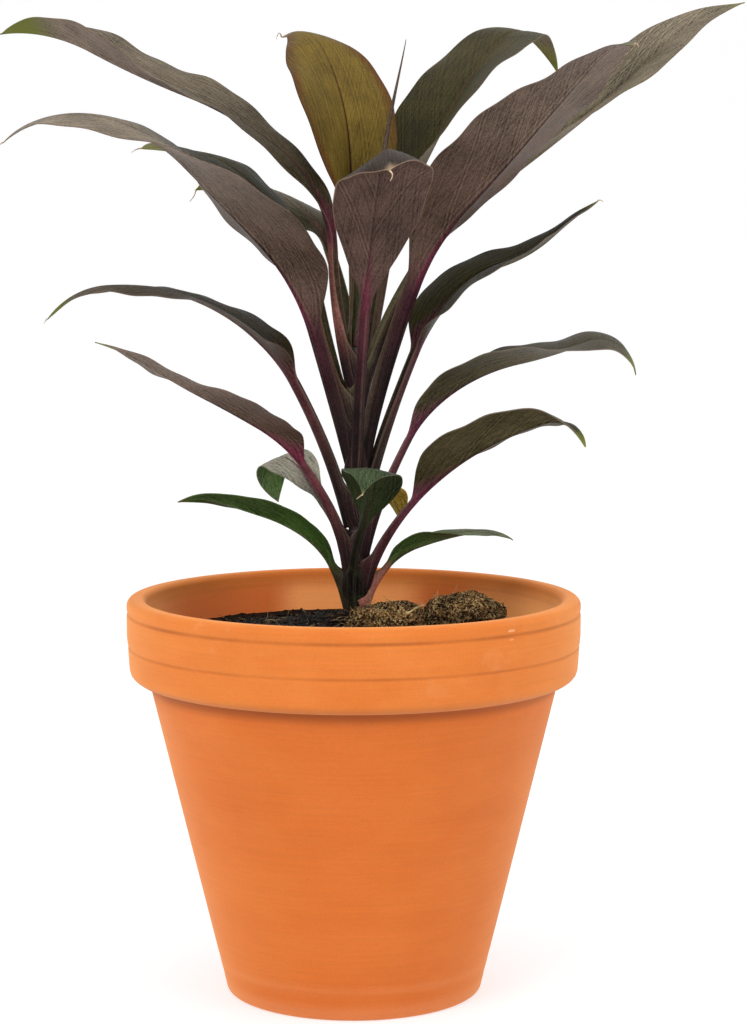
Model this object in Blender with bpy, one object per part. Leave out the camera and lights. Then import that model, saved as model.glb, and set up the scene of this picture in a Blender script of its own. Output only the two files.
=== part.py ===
"""Potted cordyline: a clay pot, its soil, two clods of peat, a cane and twenty leaves.

The origin is the middle of the pot's base, with +Z up and -Y towards the viewer.
Every leaf is one closed solid: a sheath that hugs the cane, a channelled stalk and a blade.
Run it with blender --background --python part.py, or from Blender's text editor.
"""
import math

import bmesh
import bpy
import numpy as np
from mathutils import Vector, noise

# Driving dimensions of the pot, in metres
POT_HEIGHT = 0.185
RIM_RADIUS = 0.105
BASE_RADIUS = 0.0598
FLOOR_THICKNESS = 0.011
FLOOR_RADIUS = 0.053
LIP_WIDTH = 0.009
LIP_ROUND_OUTER = 0.0035
LIP_ROUND_INNER = 0.003
BASE_ROUND = 0.0028
FLOOR_ROUND = 0.006
COLLAR_DEPTH = 0.0384
CREASE_RADIUS = 0.0950
POT_SIDES = 56

# The collar's outside, as (radius, depth below the rim)
COLLAR_PROFILE = (
    (0.0985, 0.0380),
    (0.1021, 0.0362),
    (0.1038, 0.0330),
    (0.1046, 0.0212),
    (0.1050, 0.0170),
)

# Driving dimensions of the soil, the cane and the clods
CLEARANCE = 0.0003
SOIL_EDGE_HEIGHT = 0.1655
SOIL_MOUND_HEIGHT = 0.0115
SOIL_ROUGHNESS = 0.0014
SOIL_GRAIN = 90.0
MOUND_FALL = 0.8
SEAT_MARGIN = 0.006
SEAT_BLEND = 0.35
SEAT_DEPTH = 0.0005
ROUGHNESS, LACUNARITY, OCTAVES = 0.9, 2.1, 3
SOIL_RINGS = 9
SOIL_SIDES = 40
CANE_FOOT = 0.150
CANE_TOP = 0.300
CANE_SIDES = 24
CANE_RINGS = 6
CANE_OFFSET = 0.001
CANE_TAPER = ((0.170, 0.0040), (0.300, 0.0023))

# A clod: centre (x, y), half sizes (x, y, z), turn in degrees and noise seed
CLODS = {
    "peat_clod_low": dict(centre=(0.0150, -0.0240), half=(0.0190, 0.0115, 0.0070), turn=-6, seed=3),
    "peat_clod_tall": dict(centre=(0.0500, 0.0040), half=(0.0190, 0.0150, 0.0100), turn=12, seed=11),
}
CLOD_RUGGED = 0.30
CLOD_GRAIN = 1.7
CLOD_RISE = 0.55

# Leaf blades and stalks: thicknesses and lengths in metres, angles in degrees
MM = 0.001
EDGE_THICKNESS = 0.0007
STALK_THICKNESS = 0.0019
BLADE_RIB_THICKNESS = 0.0014
RIB_THINS_BY = 0.15
TIP_HALF_WIDTH = 0.0005
SHEATH_LENGTH = 0.017
SHEATH_REACH = 0.62
TWIST_SHARE = 0.8
SEAT_GAP = 0.00035
CHANNEL_ANGLES = (25, 85)
EDGE_FLARE = 12
OPENING_SHARE = 0.2
OUTLINE_SWELL = 1.2
WAVE_OFFSET = 0.13
FINE_STEPS = 400
STALK_STEP = 0.022
BLADE_STEP = 0.0125
ACROSS = (-1.0, -0.62, -0.22, 0.0, 0.22, 0.62, 1.0)

# Each leaf, from the lowest on the cane to the highest.
#   root     height on the cane in mm, and the side of the cane in degrees
#   turn     heading of the blade, in degrees: 0 is to the right and 90 to the back; sway turns the tip
#   stalk    length of the stalk, and half width of its channelled strip at the cane and at the
#            blade, in mm
#   blade    length and full width of the blade, in mm
#   lean     degrees from upright at the root, the blade's start, its quarters and its tip
#   fold     degrees that each half rises from the midrib, at the blade's start and at its tip
#   roll     degrees of turn about the midrib, at the blade's start and at its tip
#   widest   where along the blade it is widest
#   wave     height of the edge's waves in mm, and how many
LEAVES = {
    "leaf_01_low_left": dict(
        root=(179, 165), turn=176, sway=11, stalk=(20, 2.7, 2.2), blade=(83, 24),
        lean=(13, 25, 56, 73, 72, 109), fold=(52, 1), roll=(-1, 42), widest=0.36, wave=(0.4, 2)),
    "leaf_02_low_right": dict(
        root=(178, 22), turn=24, sway=10, stalk=(23, 2.3, 1.5), blade=(73, 19),
        lean=(15, 43, 75, 82, 89, 128), fold=(59, -27), roll=(-29, 26), widest=0.32, wave=(0.3, 2)),
    "leaf_03_front_small": dict(
        root=(181, 259), turn=290, sway=-59, stalk=(41, 2.5, 1.7), blade=(64, 28),
        lean=(13, 40, 32, 41, 93, 189), fold=(50, -29), roll=(-35, 6), widest=0.52, wave=(0.8, 1.5)),
    "leaf_04_left_lower": dict(
        root=(194, 213), turn=207, sway=-8, stalk=(59, 4.2, 1.9), blade=(115, 43),
        lean=(10, 38, 61, 64, 58, 74), fold=(24, 5), roll=(-1, 7), widest=0.28, wave=(0.8, 2.5)),
    "leaf_05_right_lower": dict(
        root=(185, 329), turn=329, sway=-20, stalk=(52, 3.8, 1.5), blade=(110, 43),
        lean=(16, 44, 56, 66, 75, 149), fold=(31, 14), roll=(-5, -20), widest=0.37, wave=(1.0, 2)),
    "leaf_06_back_left": dict(
        root=(197, 135), turn=134, sway=-15, stalk=(35, 3.2, 2.4), blade=(68, 24),
        lean=(13, 49, 44, 77, 171, 250), fold=(12, -6), roll=(-43, 4), widest=0.56, wave=(0.8, 1.5)),
    "leaf_07_back_small": dict(
        root=(198, 60), turn=54, sway=-10, stalk=(26, 2.4, 1.6), blade=(35, 18),
        lean=(13, 27, 50, 108, 155, 175), fold=(26, 12), roll=(0, 0), widest=0.45, wave=(0.4, 1)),
    "leaf_08_left_middle": dict(
        root=(217, 180), turn=185, sway=7, stalk=(71, 5.0, 3.4), blade=(134, 42),
        lean=(13, 28, 51, 73, 92, 145), fold=(29, -22), roll=(-11, 1), widest=0.25, wave=(1.0, 2.5)),
    "leaf_09_right_middle": dict(
        root=(202, 345), turn=354, sway=10, stalk=(59, 4.0, 1.5), blade=(129, 53),
        lean=(13, 27, 56, 78, 69, 178), fold=(47, -5), roll=(-16, 14), widest=0.61, wave=(1.0, 2.5)),
    "leaf_10_right_upper": dict(
        root=(221, 15), turn=15, sway=18, stalk=(80, 4.8, 2.6), blade=(120, 41),
        lean=(13, 23, 43, 74, 52, 63), fold=(21, 16), roll=(16, -11), widest=0.27, wave=(1.2, 2)),
    "leaf_11_left_upper": dict(
        root=(246, 195), turn=200, sway=-60, stalk=(63, 5.2, 4.6), blade=(196, 82),
        lean=(15, 17, 44, 45, 82, 126), fold=(29, -10), roll=(18, -17), widest=0.34, wave=(1.6, 2.5)),
    "leaf_12_front_centre": dict(
        root=(236, 275), turn=280, sway=-10, stalk=(84, 3.8, 2.7), blade=(138, 46),
        lean=(17, 22, 32, 46, 83, 130), fold=(1, -30), roll=(-17, 20), widest=0.60, wave=(1.6, 2)),
    "leaf_13_right_large": dict(
        root=(239, 3), turn=326, sway=-49, stalk=(91, 6.4, 5.4), blade=(190, 59),
        lean=(9, 24, 49, 50, 60, 104), fold=(44, 0), roll=(-22, 17), widest=0.37, wave=(1.4, 2.5)),
    "leaf_14_behind_left": dict(
        root=(264, 175), turn=145, sway=-8, stalk=(62, 4.2, 3.2), blade=(140, 40),
        lean=(18, 14, 40, 56, 80, 94), fold=(-6, 10), roll=(-9, 14), widest=0.63, wave=(1.0, 2)),
    "leaf_15_back_left": dict(
        root=(275, 99), turn=117, sway=55, stalk=(78, 4.2, 3.2), blade=(105, 38),
        lean=(16, 37, 63, 72, 84, 111), fold=(-20, 19), roll=(-19, 43), widest=0.54, wave=(1.0, 2)),
    "leaf_16_top_left": dict(
        root=(282, 194), turn=174, sway=-27, stalk=(62, 5.4, 2.6), blade=(208, 42),
        lean=(14, 1, 50, 69, 64, 95), fold=(-1, 45), roll=(-37, 17), widest=0.68, wave=(1.4, 3)),
    "leaf_17_top_right": dict(
        root=(274, 12), turn=17, sway=1, stalk=(71, 4.8, 3.6), blade=(204, 60),
        lean=(13, 35, 55, 53, 47, 77), fold=(59, 6), roll=(10, 26), widest=0.31, wave=(1.2, 2.5)),
    "leaf_18_top_back": dict(
        root=(294, 97), turn=103, sway=27, stalk=(47, 4.6, 3.6), blade=(150, 52),
        lean=(9, 6, 4, 37, 50, 110), fold=(41, -16), roll=(36, -15), widest=0.48, wave=(1.4, 2)),
    "leaf_19_back_right": dict(
        root=(260, 71), turn=58, sway=-12, stalk=(74, 4.8, 3.8), blade=(215, 54),
        lean=(24, 18, 42, 44, 59, 158), fold=(55, -5), roll=(-39, 18), widest=0.53, wave=(1.4, 2.5)),
}

# The rolled young leaf that stands on the cane's top
SPEAR = dict(length=0.141, foot_radius=0.0016, middle_radius=0.0022, tip_radius=0.0005, lean=9.0, heading=8.0)
SPEAR_MIDDLE = 0.35
SPEAR_SIDES = 10
SPEAR_RINGS = 9

# Finish of each kind of piece: colour (linear RGB), roughness, metallic
FINISHES = {
    "terracotta": ((0.77, 0.19, 0.045), 0.85, 0.0),
    "damp_soil": ((0.012, 0.009, 0.007), 0.95, 0.0),
    "dry_peat": ((0.20, 0.14, 0.067), 0.95, 0.0),
    "cane_bark": ((0.045, 0.030, 0.028), 0.70, 0.0),
    "purple_leaf": ((0.075, 0.045, 0.045), 0.40, 0.0),
    "olive_leaf": ((0.115, 0.095, 0.025), 0.40, 0.0),
    "green_leaf": ((0.045, 0.110, 0.020), 0.38, 0.0),
    "yellow_leaf": ((0.42, 0.24, 0.03), 0.50, 0.0),
}
LEAF_FINISHES = {
    "leaf_01_low_left": "green_leaf",
    "leaf_02_low_right": "green_leaf",
    "leaf_03_front_small": "green_leaf",
    "leaf_06_back_left": "green_leaf",
    "leaf_07_back_small": "yellow_leaf",
    "leaf_17_top_right": "olive_leaf",
    "leaf_18_top_back": "olive_leaf",
    "leaf_19_back_right": "olive_leaf",
}


def clear_scene():
    """Remove every object, so that the script gives the same model each time."""
    for old in list(bpy.data.objects):
        bpy.data.objects.remove(old, do_unlink=True)


def finish_material(name):
    """The Principled material of one kind of surface."""
    if name in bpy.data.materials:
        return bpy.data.materials[name]
    colour, roughness, metallic = FINISHES[name]
    material = bpy.data.materials.new(name)
    material.use_nodes = True
    shader = material.node_tree.nodes["Principled BSDF"]
    shader.inputs["Base Color"].default_value = (*colour, 1.0)
    shader.inputs["Roughness"].default_value = roughness
    shader.inputs["Metallic"].default_value = metallic
    return material


def add_object(name, mesh, finish, smooth_angle=40.0):
    """Link a mesh to the scene as a named piece with its finish."""
    piece = bpy.data.objects.new(name, mesh)
    bpy.context.scene.collection.objects.link(piece)
    mesh.materials.append(finish_material(finish))
    mesh.shade_smooth()
    mesh.set_sharp_from_angle(angle=math.radians(smooth_angle))
    return piece


def apply_modifiers(piece):
    """Turn the piece's modifiers into its own mesh."""
    graph = bpy.context.evaluated_depsgraph_get()
    finished = bpy.data.meshes.new_from_object(piece.evaluated_get(graph))
    piece.modifiers.clear()
    piece.data = finished


def arc(centre_radius, centre_height, radius, start, end, steps):
    """Points (radius, height) along a circle from one angle to another, in degrees."""
    angles = np.radians(np.linspace(start, end, steps + 1))
    return [(centre_radius + radius * math.cos(a), centre_height + radius * math.sin(a)) for a in angles]


def turned_mesh(name, profile, sides):
    """Spin an open profile, from the axis round to the axis, into a closed solid."""
    form = bmesh.new()
    points = [form.verts.new((radius, 0.0, height)) for radius, height in profile]
    edges = [form.edges.new(pair) for pair in zip(points, points[1:])]
    bmesh.ops.spin(
        form, geom=points + edges, axis=(0, 0, 1), cent=(0, 0, 0),
        angle=math.tau, steps=sides, use_merge=True, use_duplicate=False)
    bmesh.ops.remove_doubles(form, verts=form.verts, dist=1e-6)
    bmesh.ops.triangulate(form, faces=form.faces)
    bmesh.ops.recalc_face_normals(form, faces=form.faces)
    mesh = bpy.data.meshes.new(name)
    form.to_mesh(mesh)
    form.free()
    return mesh


def inner_radius(height):
    """Radius of the pot's inner wall at a height above the base."""
    rise = (height - FLOOR_THICKNESS) / (POT_HEIGHT - LIP_ROUND_INNER - FLOOR_THICKNESS)
    return FLOOR_RADIUS + (RIM_RADIUS - LIP_WIDTH - FLOOR_RADIUS) * rise


def make_pot():
    """The clay pot: tapered body, thick collar with a rolled lip, hollow inside."""
    lip_inner = RIM_RADIUS - LIP_WIDTH
    profile = [(0.0, 0.0)]
    profile += arc(BASE_RADIUS - BASE_ROUND, BASE_ROUND, BASE_ROUND, -90, -10, 3)
    profile += [(CREASE_RADIUS, POT_HEIGHT - COLLAR_DEPTH)]
    profile += [(radius, POT_HEIGHT - depth) for radius, depth in COLLAR_PROFILE]
    profile += arc(RIM_RADIUS - LIP_ROUND_OUTER, POT_HEIGHT - LIP_ROUND_OUTER, LIP_ROUND_OUTER, 0, 90, 3)
    profile += arc(lip_inner + LIP_ROUND_INNER, POT_HEIGHT - LIP_ROUND_INNER, LIP_ROUND_INNER, 90, 180, 3)
    profile += [(inner_radius(FLOOR_THICKNESS + FLOOR_ROUND), FLOOR_THICKNESS + FLOOR_ROUND)]
    profile += [(FLOOR_RADIUS - FLOOR_ROUND / 2, FLOOR_THICKNESS + FLOOR_ROUND / 4)]
    profile += [(FLOOR_RADIUS - FLOOR_ROUND, FLOOR_THICKNESS), (0.0, FLOOR_THICKNESS)]
    return add_object("pot", turned_mesh("pot", profile, POT_SIDES), "terracotta")


def cane_radius(height):
    """Radius of the cane, which thins towards its top."""
    heights, radii = zip(*CANE_TAPER)
    return float(np.interp(height, heights, radii))


def mound_height(radius):
    """Height of the soil before its roughness: a low mound that flattens at the wall."""
    share = min(radius / inner_radius(SOIL_EDGE_HEIGHT), 1.0)
    return SOIL_EDGE_HEIGHT + SOIL_MOUND_HEIGHT * 0.5 * (1.0 + math.cos(math.pi * share ** MOUND_FALL))


def clod_seat(clod):
    """Height of the flat spot under a clod."""
    return mound_height(math.hypot(*clod["centre"])) - SEAT_DEPTH


def clod_share(clod, x, y, margin):
    """How far a point is from a clod's middle: 1 on the edge of its seat."""
    turn = math.radians(clod["turn"])
    across, along = x - clod["centre"][0], y - clod["centre"][1]
    u = across * math.cos(turn) + along * math.sin(turn)
    v = along * math.cos(turn) - across * math.sin(turn)
    return math.hypot(u / (clod["half"][0] + margin), v / (clod["half"][1] + margin))


def soil_height(x, y):
    """The soil's top: the mound, crumbs from noise, and a flat seat under each clod."""
    crumbs = noise.fractal(Vector((x, y, 0.0)) * SOIL_GRAIN, ROUGHNESS, LACUNARITY, OCTAVES)
    height = mound_height(math.hypot(x, y)) + SOIL_ROUGHNESS * crumbs
    for clod in CLODS.values():
        blend = min(max((clod_share(clod, x, y, SEAT_MARGIN) - 1.0) / SEAT_BLEND, 0.0), 1.0)
        height = clod_seat(clod) * (1.0 - blend) + height * blend
    return height


def make_soil():
    """The potting soil: it fills the pot up to a rough mound, with a plain hole for the cane."""
    top_radius = inner_radius(SOIL_EDGE_HEIGHT) - CLEARANCE
    low_side = FLOOR_THICKNESS + FLOOR_ROUND + CLEARANCE
    profile = [(top_radius * ring / SOIL_RINGS, SOIL_EDGE_HEIGHT) for ring in range(SOIL_RINGS + 1)]
    profile += [(inner_radius(low_side) - CLEARANCE, low_side)]
    profile += [(FLOOR_RADIUS - FLOOR_ROUND - CLEARANCE, FLOOR_THICKNESS + CLEARANCE)]
    profile += [(0.0, FLOOR_THICKNESS + CLEARANCE)]
    mesh = turned_mesh("soil", profile, SOIL_SIDES)
    for point in mesh.vertices:
        inside = math.hypot(point.co.x, point.co.y) < top_radius - 0.001
        if inside and point.co.z > SOIL_EDGE_HEIGHT - 0.0001:
            point.co.z = soil_height(point.co.x, point.co.y)
    soil = add_object("soil", mesh, "damp_soil", smooth_angle=60)
    cutter = make_hole_cutter()
    cut = soil.modifiers.new("cane_hole", "BOOLEAN")
    cut.operation = "DIFFERENCE"
    cut.object = cutter
    apply_modifiers(soil)
    bpy.data.objects.remove(cutter, do_unlink=True)
    return soil


def make_hole_cutter():
    """The round bar that leaves the cane's hole in the soil."""
    depth = SOIL_EDGE_HEIGHT + 2 * SOIL_MOUND_HEIGHT - CANE_FOOT
    radius = cane_radius(CANE_FOOT) + CLEARANCE
    form = bmesh.new()
    bmesh.ops.create_cone(
        form, cap_ends=True, segments=CANE_SIDES, depth=depth, radius1=radius, radius2=radius)
    mesh = bpy.data.meshes.new("cane_hole")
    form.to_mesh(mesh)
    form.free()
    cutter = bpy.data.objects.new("cane_hole", mesh)
    bpy.context.scene.collection.objects.link(cutter)
    cutter.location = (CANE_OFFSET, 0.0, CANE_FOOT - CLEARANCE + depth / 2)
    cutter.hide_render = True
    cutter.display_type = "WIRE"
    return cutter


def make_clod(name, clod):
    """A crumb of dry peat: a rugged ball, flat below where it rests on the soil."""
    form = bmesh.new()
    bmesh.ops.create_icosphere(form, subdivisions=3, radius=1.0)
    half = Vector(clod["half"])
    for point in form.verts:
        place = point.co.normalized()
        rough = noise.fractal(
            place * CLOD_GRAIN + Vector((clod["seed"], 0, 0)), ROUGHNESS, LACUNARITY, OCTAVES)
        place = place * (1.0 + CLOD_RUGGED * rough)
        point.co = (place.x * half.x, place.y * half.y, max(0.0, (place.z + CLOD_RISE) * half.z))
    bmesh.ops.triangulate(form, faces=form.faces)
    mesh = bpy.data.meshes.new(name)
    form.to_mesh(mesh)
    form.free()
    piece = add_object(name, mesh, "dry_peat", smooth_angle=60)
    piece.location = (*clod["centre"], clod_seat(clod) + CLEARANCE)
    piece.rotation_euler.z = math.radians(clod["turn"])
    return piece


def make_cane(plant):
    """The woody cane, which stands in the soil and carries every leaf."""
    heights = np.linspace(CANE_TOP, CANE_TAPER[0][0], CANE_RINGS)
    profile = [(0.0, CANE_TOP)]
    profile += [(cane_radius(height), height) for height in heights]
    profile += [(cane_radius(CANE_FOOT), CANE_FOOT), (0.0, CANE_FOOT)]
    cane = add_object("cane", turned_mesh("cane", profile, CANE_SIDES), "cane_bark")
    cane.parent = plant
    return cane


def ease(share):
    """Zero to one, flat at both ends."""
    share = np.clip(share, 0.0, 1.0)
    return share * share * (3.0 - 2.0 * share)


def leaf_stations(stalk, blade):
    """Distances along the leaf where its section is drawn: close together at the sheath and the tip."""
    sheath = np.array([0.0, 0.3, 0.65, 1.0]) * SHEATH_LENGTH
    stalk_steps = max(2, round((stalk - SHEATH_LENGTH) / STALK_STEP))
    plain = np.linspace(SHEATH_LENGTH, stalk, stalk_steps + 1)[1:]
    blade_steps = max(8, round(blade / BLADE_STEP))
    return np.concatenate([sheath, plain, stalk + blade * np.linspace(0, 1, blade_steps + 1)[1:]])


def leaf_frame(leaf, stations):
    """Midrib points with their tangent, cross and normal directions, in the leaf's own frame.

    The lean from upright changes evenly between its stated values. The midrib is the running
    sum of the tangent. The heading turns smoothly along the stalk, from the side of the cane
    that the root is on to the blade's own heading, and then sways with the square of the way
    along the blade.
    """
    stalk, blade = leaf["stalk"][0] * MM, leaf["blade"][0] * MM
    fine = np.linspace(0.0, stalk + blade, FINE_STEPS + 1)
    knots = [0.0, stalk, *(stalk + blade * share for share in (0.25, 0.5, 0.75, 1.0))]
    lean = np.radians(np.interp(fine, knots, leaf["lean"]))
    along = np.clip((fine - stalk) / blade, 0.0, 1.0)
    twist = (leaf["turn"] - leaf["root"][1] + 180) % 360 - 180
    heading = np.radians(twist * ease(fine / (TWIST_SHARE * stalk)) + leaf["sway"] * along ** 2)
    tangent = np.stack([np.sin(lean) * np.cos(heading), np.sin(lean) * np.sin(heading), np.cos(lean)], -1)
    midrib = np.zeros_like(tangent)
    midrib[1:] = np.cumsum((tangent[1:] + tangent[:-1]) / 2, axis=0) * (fine[1] - fine[0])
    cross = np.stack([-np.sin(heading), np.cos(heading), np.zeros_like(heading)], -1)
    normal = np.cross(tangent, cross)
    start_roll, end_roll = np.radians(leaf["roll"])
    roll = (start_roll * ease(fine / stalk) + (end_roll - start_roll) * along)[:, None]
    rolled_cross = cross * np.cos(roll) + normal * np.sin(roll)
    rolled_normal = normal * np.cos(roll) - cross * np.sin(roll)
    columns = (midrib, tangent, rolled_cross, rolled_normal)
    return [np.stack([np.interp(stations, fine, part[:, axis]) for axis in range(3)], -1) for part in columns]


def leaf_half_width(leaf, stations, along):
    """Half width: the strip narrows up the stalk and ends on the blade, whose outline swells and ends."""
    widest = leaf["widest"]
    rising = np.sin(np.pi / 2 * np.clip(along / widest, 0, 1)) ** OUTLINE_SWELL
    falling = np.cos(np.pi / 2 * np.clip((along - widest) / (1 - widest), 0, 1))
    outline = leaf["blade"][1] * MM / 2 * np.where(along < widest, rising, falling)
    length, low, neck = leaf["stalk"]
    strip = (low + (neck - low) * ease(stations / (length * MM))) * MM * (1 - along)
    return np.maximum(np.hypot(strip, outline), TIP_HALF_WIDTH)


def leaf_faces(leaf):
    """The upper and the under face of a leaf, as two grids of points.

    Across each section the strip bends from one angle at the midrib to another at the edge, so
    each half is an arc. At the root the arcs follow the cane. Along the stalk they stand up as a
    channel, and on the blade they open to the fold. Waves lift the edges by a sine. The under
    face is the upper one moved out by the thickness, which is greatest at the midrib.
    """
    stalk, blade = leaf["stalk"][0] * MM, leaf["blade"][0] * MM
    stations = leaf_stations(stalk, blade)
    midrib, _, cross, normal = leaf_frame(leaf, stations)
    along = np.clip((stations - stalk) / blade, 0.0, 1.0)
    free = ease(stations / SHEATH_LENGTH)
    hug_radius = cane_radius(leaf["root"][0] * MM) + SEAT_GAP
    half = leaf_half_width(leaf, stations, along)
    half = half * free + np.minimum(half, SHEATH_REACH * hug_radius) * (1 - free)
    opened = ease(along / OPENING_SHARE)
    fold = np.interp(along, (0, 1), leaf["fold"])
    middle = (CHANNEL_ANGLES[0] * (1 - opened) + fold * opened) * free
    edge = (CHANNEL_ANGLES[1] * (1 - opened) + (fold - EDGE_FLARE) * opened) * free
    middle = np.radians(middle)[:, None]
    edge = np.radians(edge)[:, None] + (half / hug_radius * (1 - free))[:, None]
    bend = np.where(np.abs(edge - middle) < 0.001, 0.001, edge - middle)

    across = np.array(ACROSS)[None, :]
    side, reach = np.sign(across), np.abs(across)
    angle = middle + bend * reach
    sideways = side * (np.sin(angle) - np.sin(middle)) / bend * half[:, None]
    upwards = (np.cos(middle) - np.cos(angle)) / bend * half[:, None]
    height, count = leaf["wave"]
    phase = 2 * np.pi * (count * along[:, None] + WAVE_OFFSET * side)
    upwards = upwards + height * MM * np.sin(phase) * across ** 2 * np.sqrt(np.sin(np.pi * along))[:, None]
    upper = midrib[:, None] + cross[:, None] * sideways[..., None] + normal[:, None] * upwards[..., None]

    rib_sizes = (STALK_THICKNESS, BLADE_RIB_THICKNESS, EDGE_THICKNESS)
    rib = np.interp(along, (0, RIB_THINS_BY, 1), rib_sizes)[:, None]
    keel = (1 - across ** 2) * (1 - opened[:, None]) + (1 - reach) ** 2 * opened[:, None]
    thick = EDGE_THICKNESS + (rib - EDGE_THICKNESS) * keel
    out_side = np.sin(angle) * side
    out_up = np.where(side == 0, -1.0, -np.cos(angle))
    outwards = cross[:, None] * out_side[..., None] + normal[:, None] * out_up[..., None]
    under = upper + outwards * thick[..., None]
    return upper, under


def closed_strip_mesh(name, upper, under):
    """Join two like grids into one closed solid, with the same diagonals on both."""
    rows, columns = upper.shape[:2]
    points = np.concatenate([upper.reshape(-1, 3), under.reshape(-1, 3)])
    top = np.arange(rows * columns).reshape(rows, columns)
    low = top + rows * columns
    faces = []

    def add_sheet(grid, flip):
        quads = np.stack([grid[:-1, :-1], grid[1:, :-1], grid[1:, 1:], grid[:-1, 1:]], -1).reshape(-1, 4)
        pair = np.concatenate([quads[:, (0, 1, 2)], quads[:, (0, 2, 3)]])
        faces.append(pair[:, ::-1] if flip else pair)

    def add_rim(upper_line, lower_line):
        add_sheet(np.stack([upper_line, lower_line]), False)

    add_sheet(top, False)
    add_sheet(low, True)
    add_rim(top[:, 0], low[:, 0])
    add_rim(top[::-1, -1], low[::-1, -1])
    add_rim(top[0, ::-1], low[0, ::-1])
    add_rim(top[-1], low[-1])
    mesh = bpy.data.meshes.new(name)
    mesh.from_pydata(points.tolist(), [], np.concatenate(faces).tolist())
    mesh.validate()
    return mesh


def make_leaf(name, leaf, plant):
    """One leaf, placed at its root on the cane and facing out on that side."""
    upper, under = leaf_faces(leaf)
    piece = add_object(name, closed_strip_mesh(name, upper, under), LEAF_FINISHES.get(name, "purple_leaf"))
    height, side = leaf["root"][0] * MM, math.radians(leaf["root"][1])
    reach = cane_radius(height) + SEAT_GAP
    piece.parent = plant
    piece.location = (reach * math.cos(side), reach * math.sin(side), height)
    piece.rotation_euler.z = side
    return piece


def make_spear(plant):
    """The youngest leaf, still rolled into a slim cone, standing on the cane's top."""
    shares = np.linspace(0.0, 1.0, SPEAR_RINGS)
    knots = (SPEAR["foot_radius"], SPEAR["middle_radius"], SPEAR["tip_radius"])
    radii = np.interp(shares, (0, SPEAR_MIDDLE, 1), knots)
    profile = [(0.0, SPEAR["length"])]
    profile += [(radius, share * SPEAR["length"]) for share, radius in zip(shares[::-1], radii[::-1])]
    profile += [(0.0, 0.0)]
    spear = add_object("leaf_20_rolled_spear", turned_mesh("spear", profile, SPEAR_SIDES), "purple_leaf")
    lean, heading = math.radians(SPEAR["lean"]), math.radians(SPEAR["heading"])
    spear.parent = plant
    spear.location.z = CANE_TOP + CLEARANCE + SPEAR["foot_radius"] * math.sin(lean)
    spear.rotation_euler = (0.0, lean, heading)
    return spear


def main():
    clear_scene()
    make_pot()
    make_soil()
    for name, clod in CLODS.items():
        make_clod(name, clod)
    plant = bpy.data.objects.new("plant", None)
    bpy.context.scene.collection.objects.link(plant)
    plant.location.x = CANE_OFFSET
    make_cane(plant)
    for name, leaf in LEAVES.items():
        make_leaf(name, leaf, plant)
    make_spear(plant)


main()
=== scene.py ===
"""Looks of the potted cordyline: finer pieces and finishes around the fixed frame.

Lengths are in metres and the frame is the part's own: origin in the middle of the pot's
underside, +Z up, -Y towards the viewer. Every surface is worked out on a grid with numpy.
"""
import math

import bmesh
import bpy
import numpy as np
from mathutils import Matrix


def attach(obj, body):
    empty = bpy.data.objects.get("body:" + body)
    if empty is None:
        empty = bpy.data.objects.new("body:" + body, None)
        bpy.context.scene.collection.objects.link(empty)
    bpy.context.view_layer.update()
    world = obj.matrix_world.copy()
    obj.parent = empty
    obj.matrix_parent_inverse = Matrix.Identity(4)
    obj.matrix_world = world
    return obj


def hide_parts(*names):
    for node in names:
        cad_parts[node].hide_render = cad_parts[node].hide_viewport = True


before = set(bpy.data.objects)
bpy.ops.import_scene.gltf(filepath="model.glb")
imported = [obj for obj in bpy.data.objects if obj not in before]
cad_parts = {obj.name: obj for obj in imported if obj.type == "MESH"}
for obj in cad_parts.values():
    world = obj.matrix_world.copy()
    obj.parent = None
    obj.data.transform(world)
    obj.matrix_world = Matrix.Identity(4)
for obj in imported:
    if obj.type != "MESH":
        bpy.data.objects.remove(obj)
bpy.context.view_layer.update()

bl_info = {
    "name": "Potted cordyline",
    "version": (1, 0, 0),
    "blender": (4, 5, 0),
    "location": "View3D > Sidebar > Cordyline",
    "description": "Builds the clay pot, the soil and the leaves of a potted cordyline",
    "category": "Add Mesh",
}

MM = 0.001

# The pot, as in the part
POT_HEIGHT = 0.185
RIM_RADIUS = 0.105
BASE_RADIUS = 0.0598
FLOOR_THICKNESS = 0.011
FLOOR_RADIUS = 0.053
LIP_WIDTH = 0.009
LIP_ROUND_OUTER = 0.0035
LIP_ROUND_INNER = 0.003
BASE_ROUND = 0.0028
FLOOR_ROUND = 0.006
COLLAR_DEPTH = 0.0384
CREASE_RADIUS = 0.0950
WALL_SLOPE = (RIM_RADIUS - LIP_WIDTH - FLOOR_RADIUS) / (POT_HEIGHT - LIP_ROUND_INNER - FLOOR_THICKNESS)

# The collar's outline from its lower edge up: radius and depth below the rim
COLLAR_CURVE = (
    (0.0985, 0.0381), (0.1004, 0.0375), (0.1021, 0.0363), (0.1032, 0.0349), (0.1038, 0.0330),
    (0.1040, 0.0305), (0.1046, 0.0212), (0.1050, 0.0170))

# Colour marks on the clay: depth below the rim, reach and strength of the painted shade in two lines on the
# collar and in the crease, height, reach and strength of the pale line at the foot, and how flat the chips
# are
GROOVE_SHADE_LINES = ((0.0068, 0.0014, 0.55), (0.0220, 0.0012, 0.36))
CREASE_SHADE = (0.0392, 0.0060, 0.66)
FOOT_LINE = (0.0148, 0.0035, 0.08)
CHIP_SQUASH = 3.6

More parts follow.
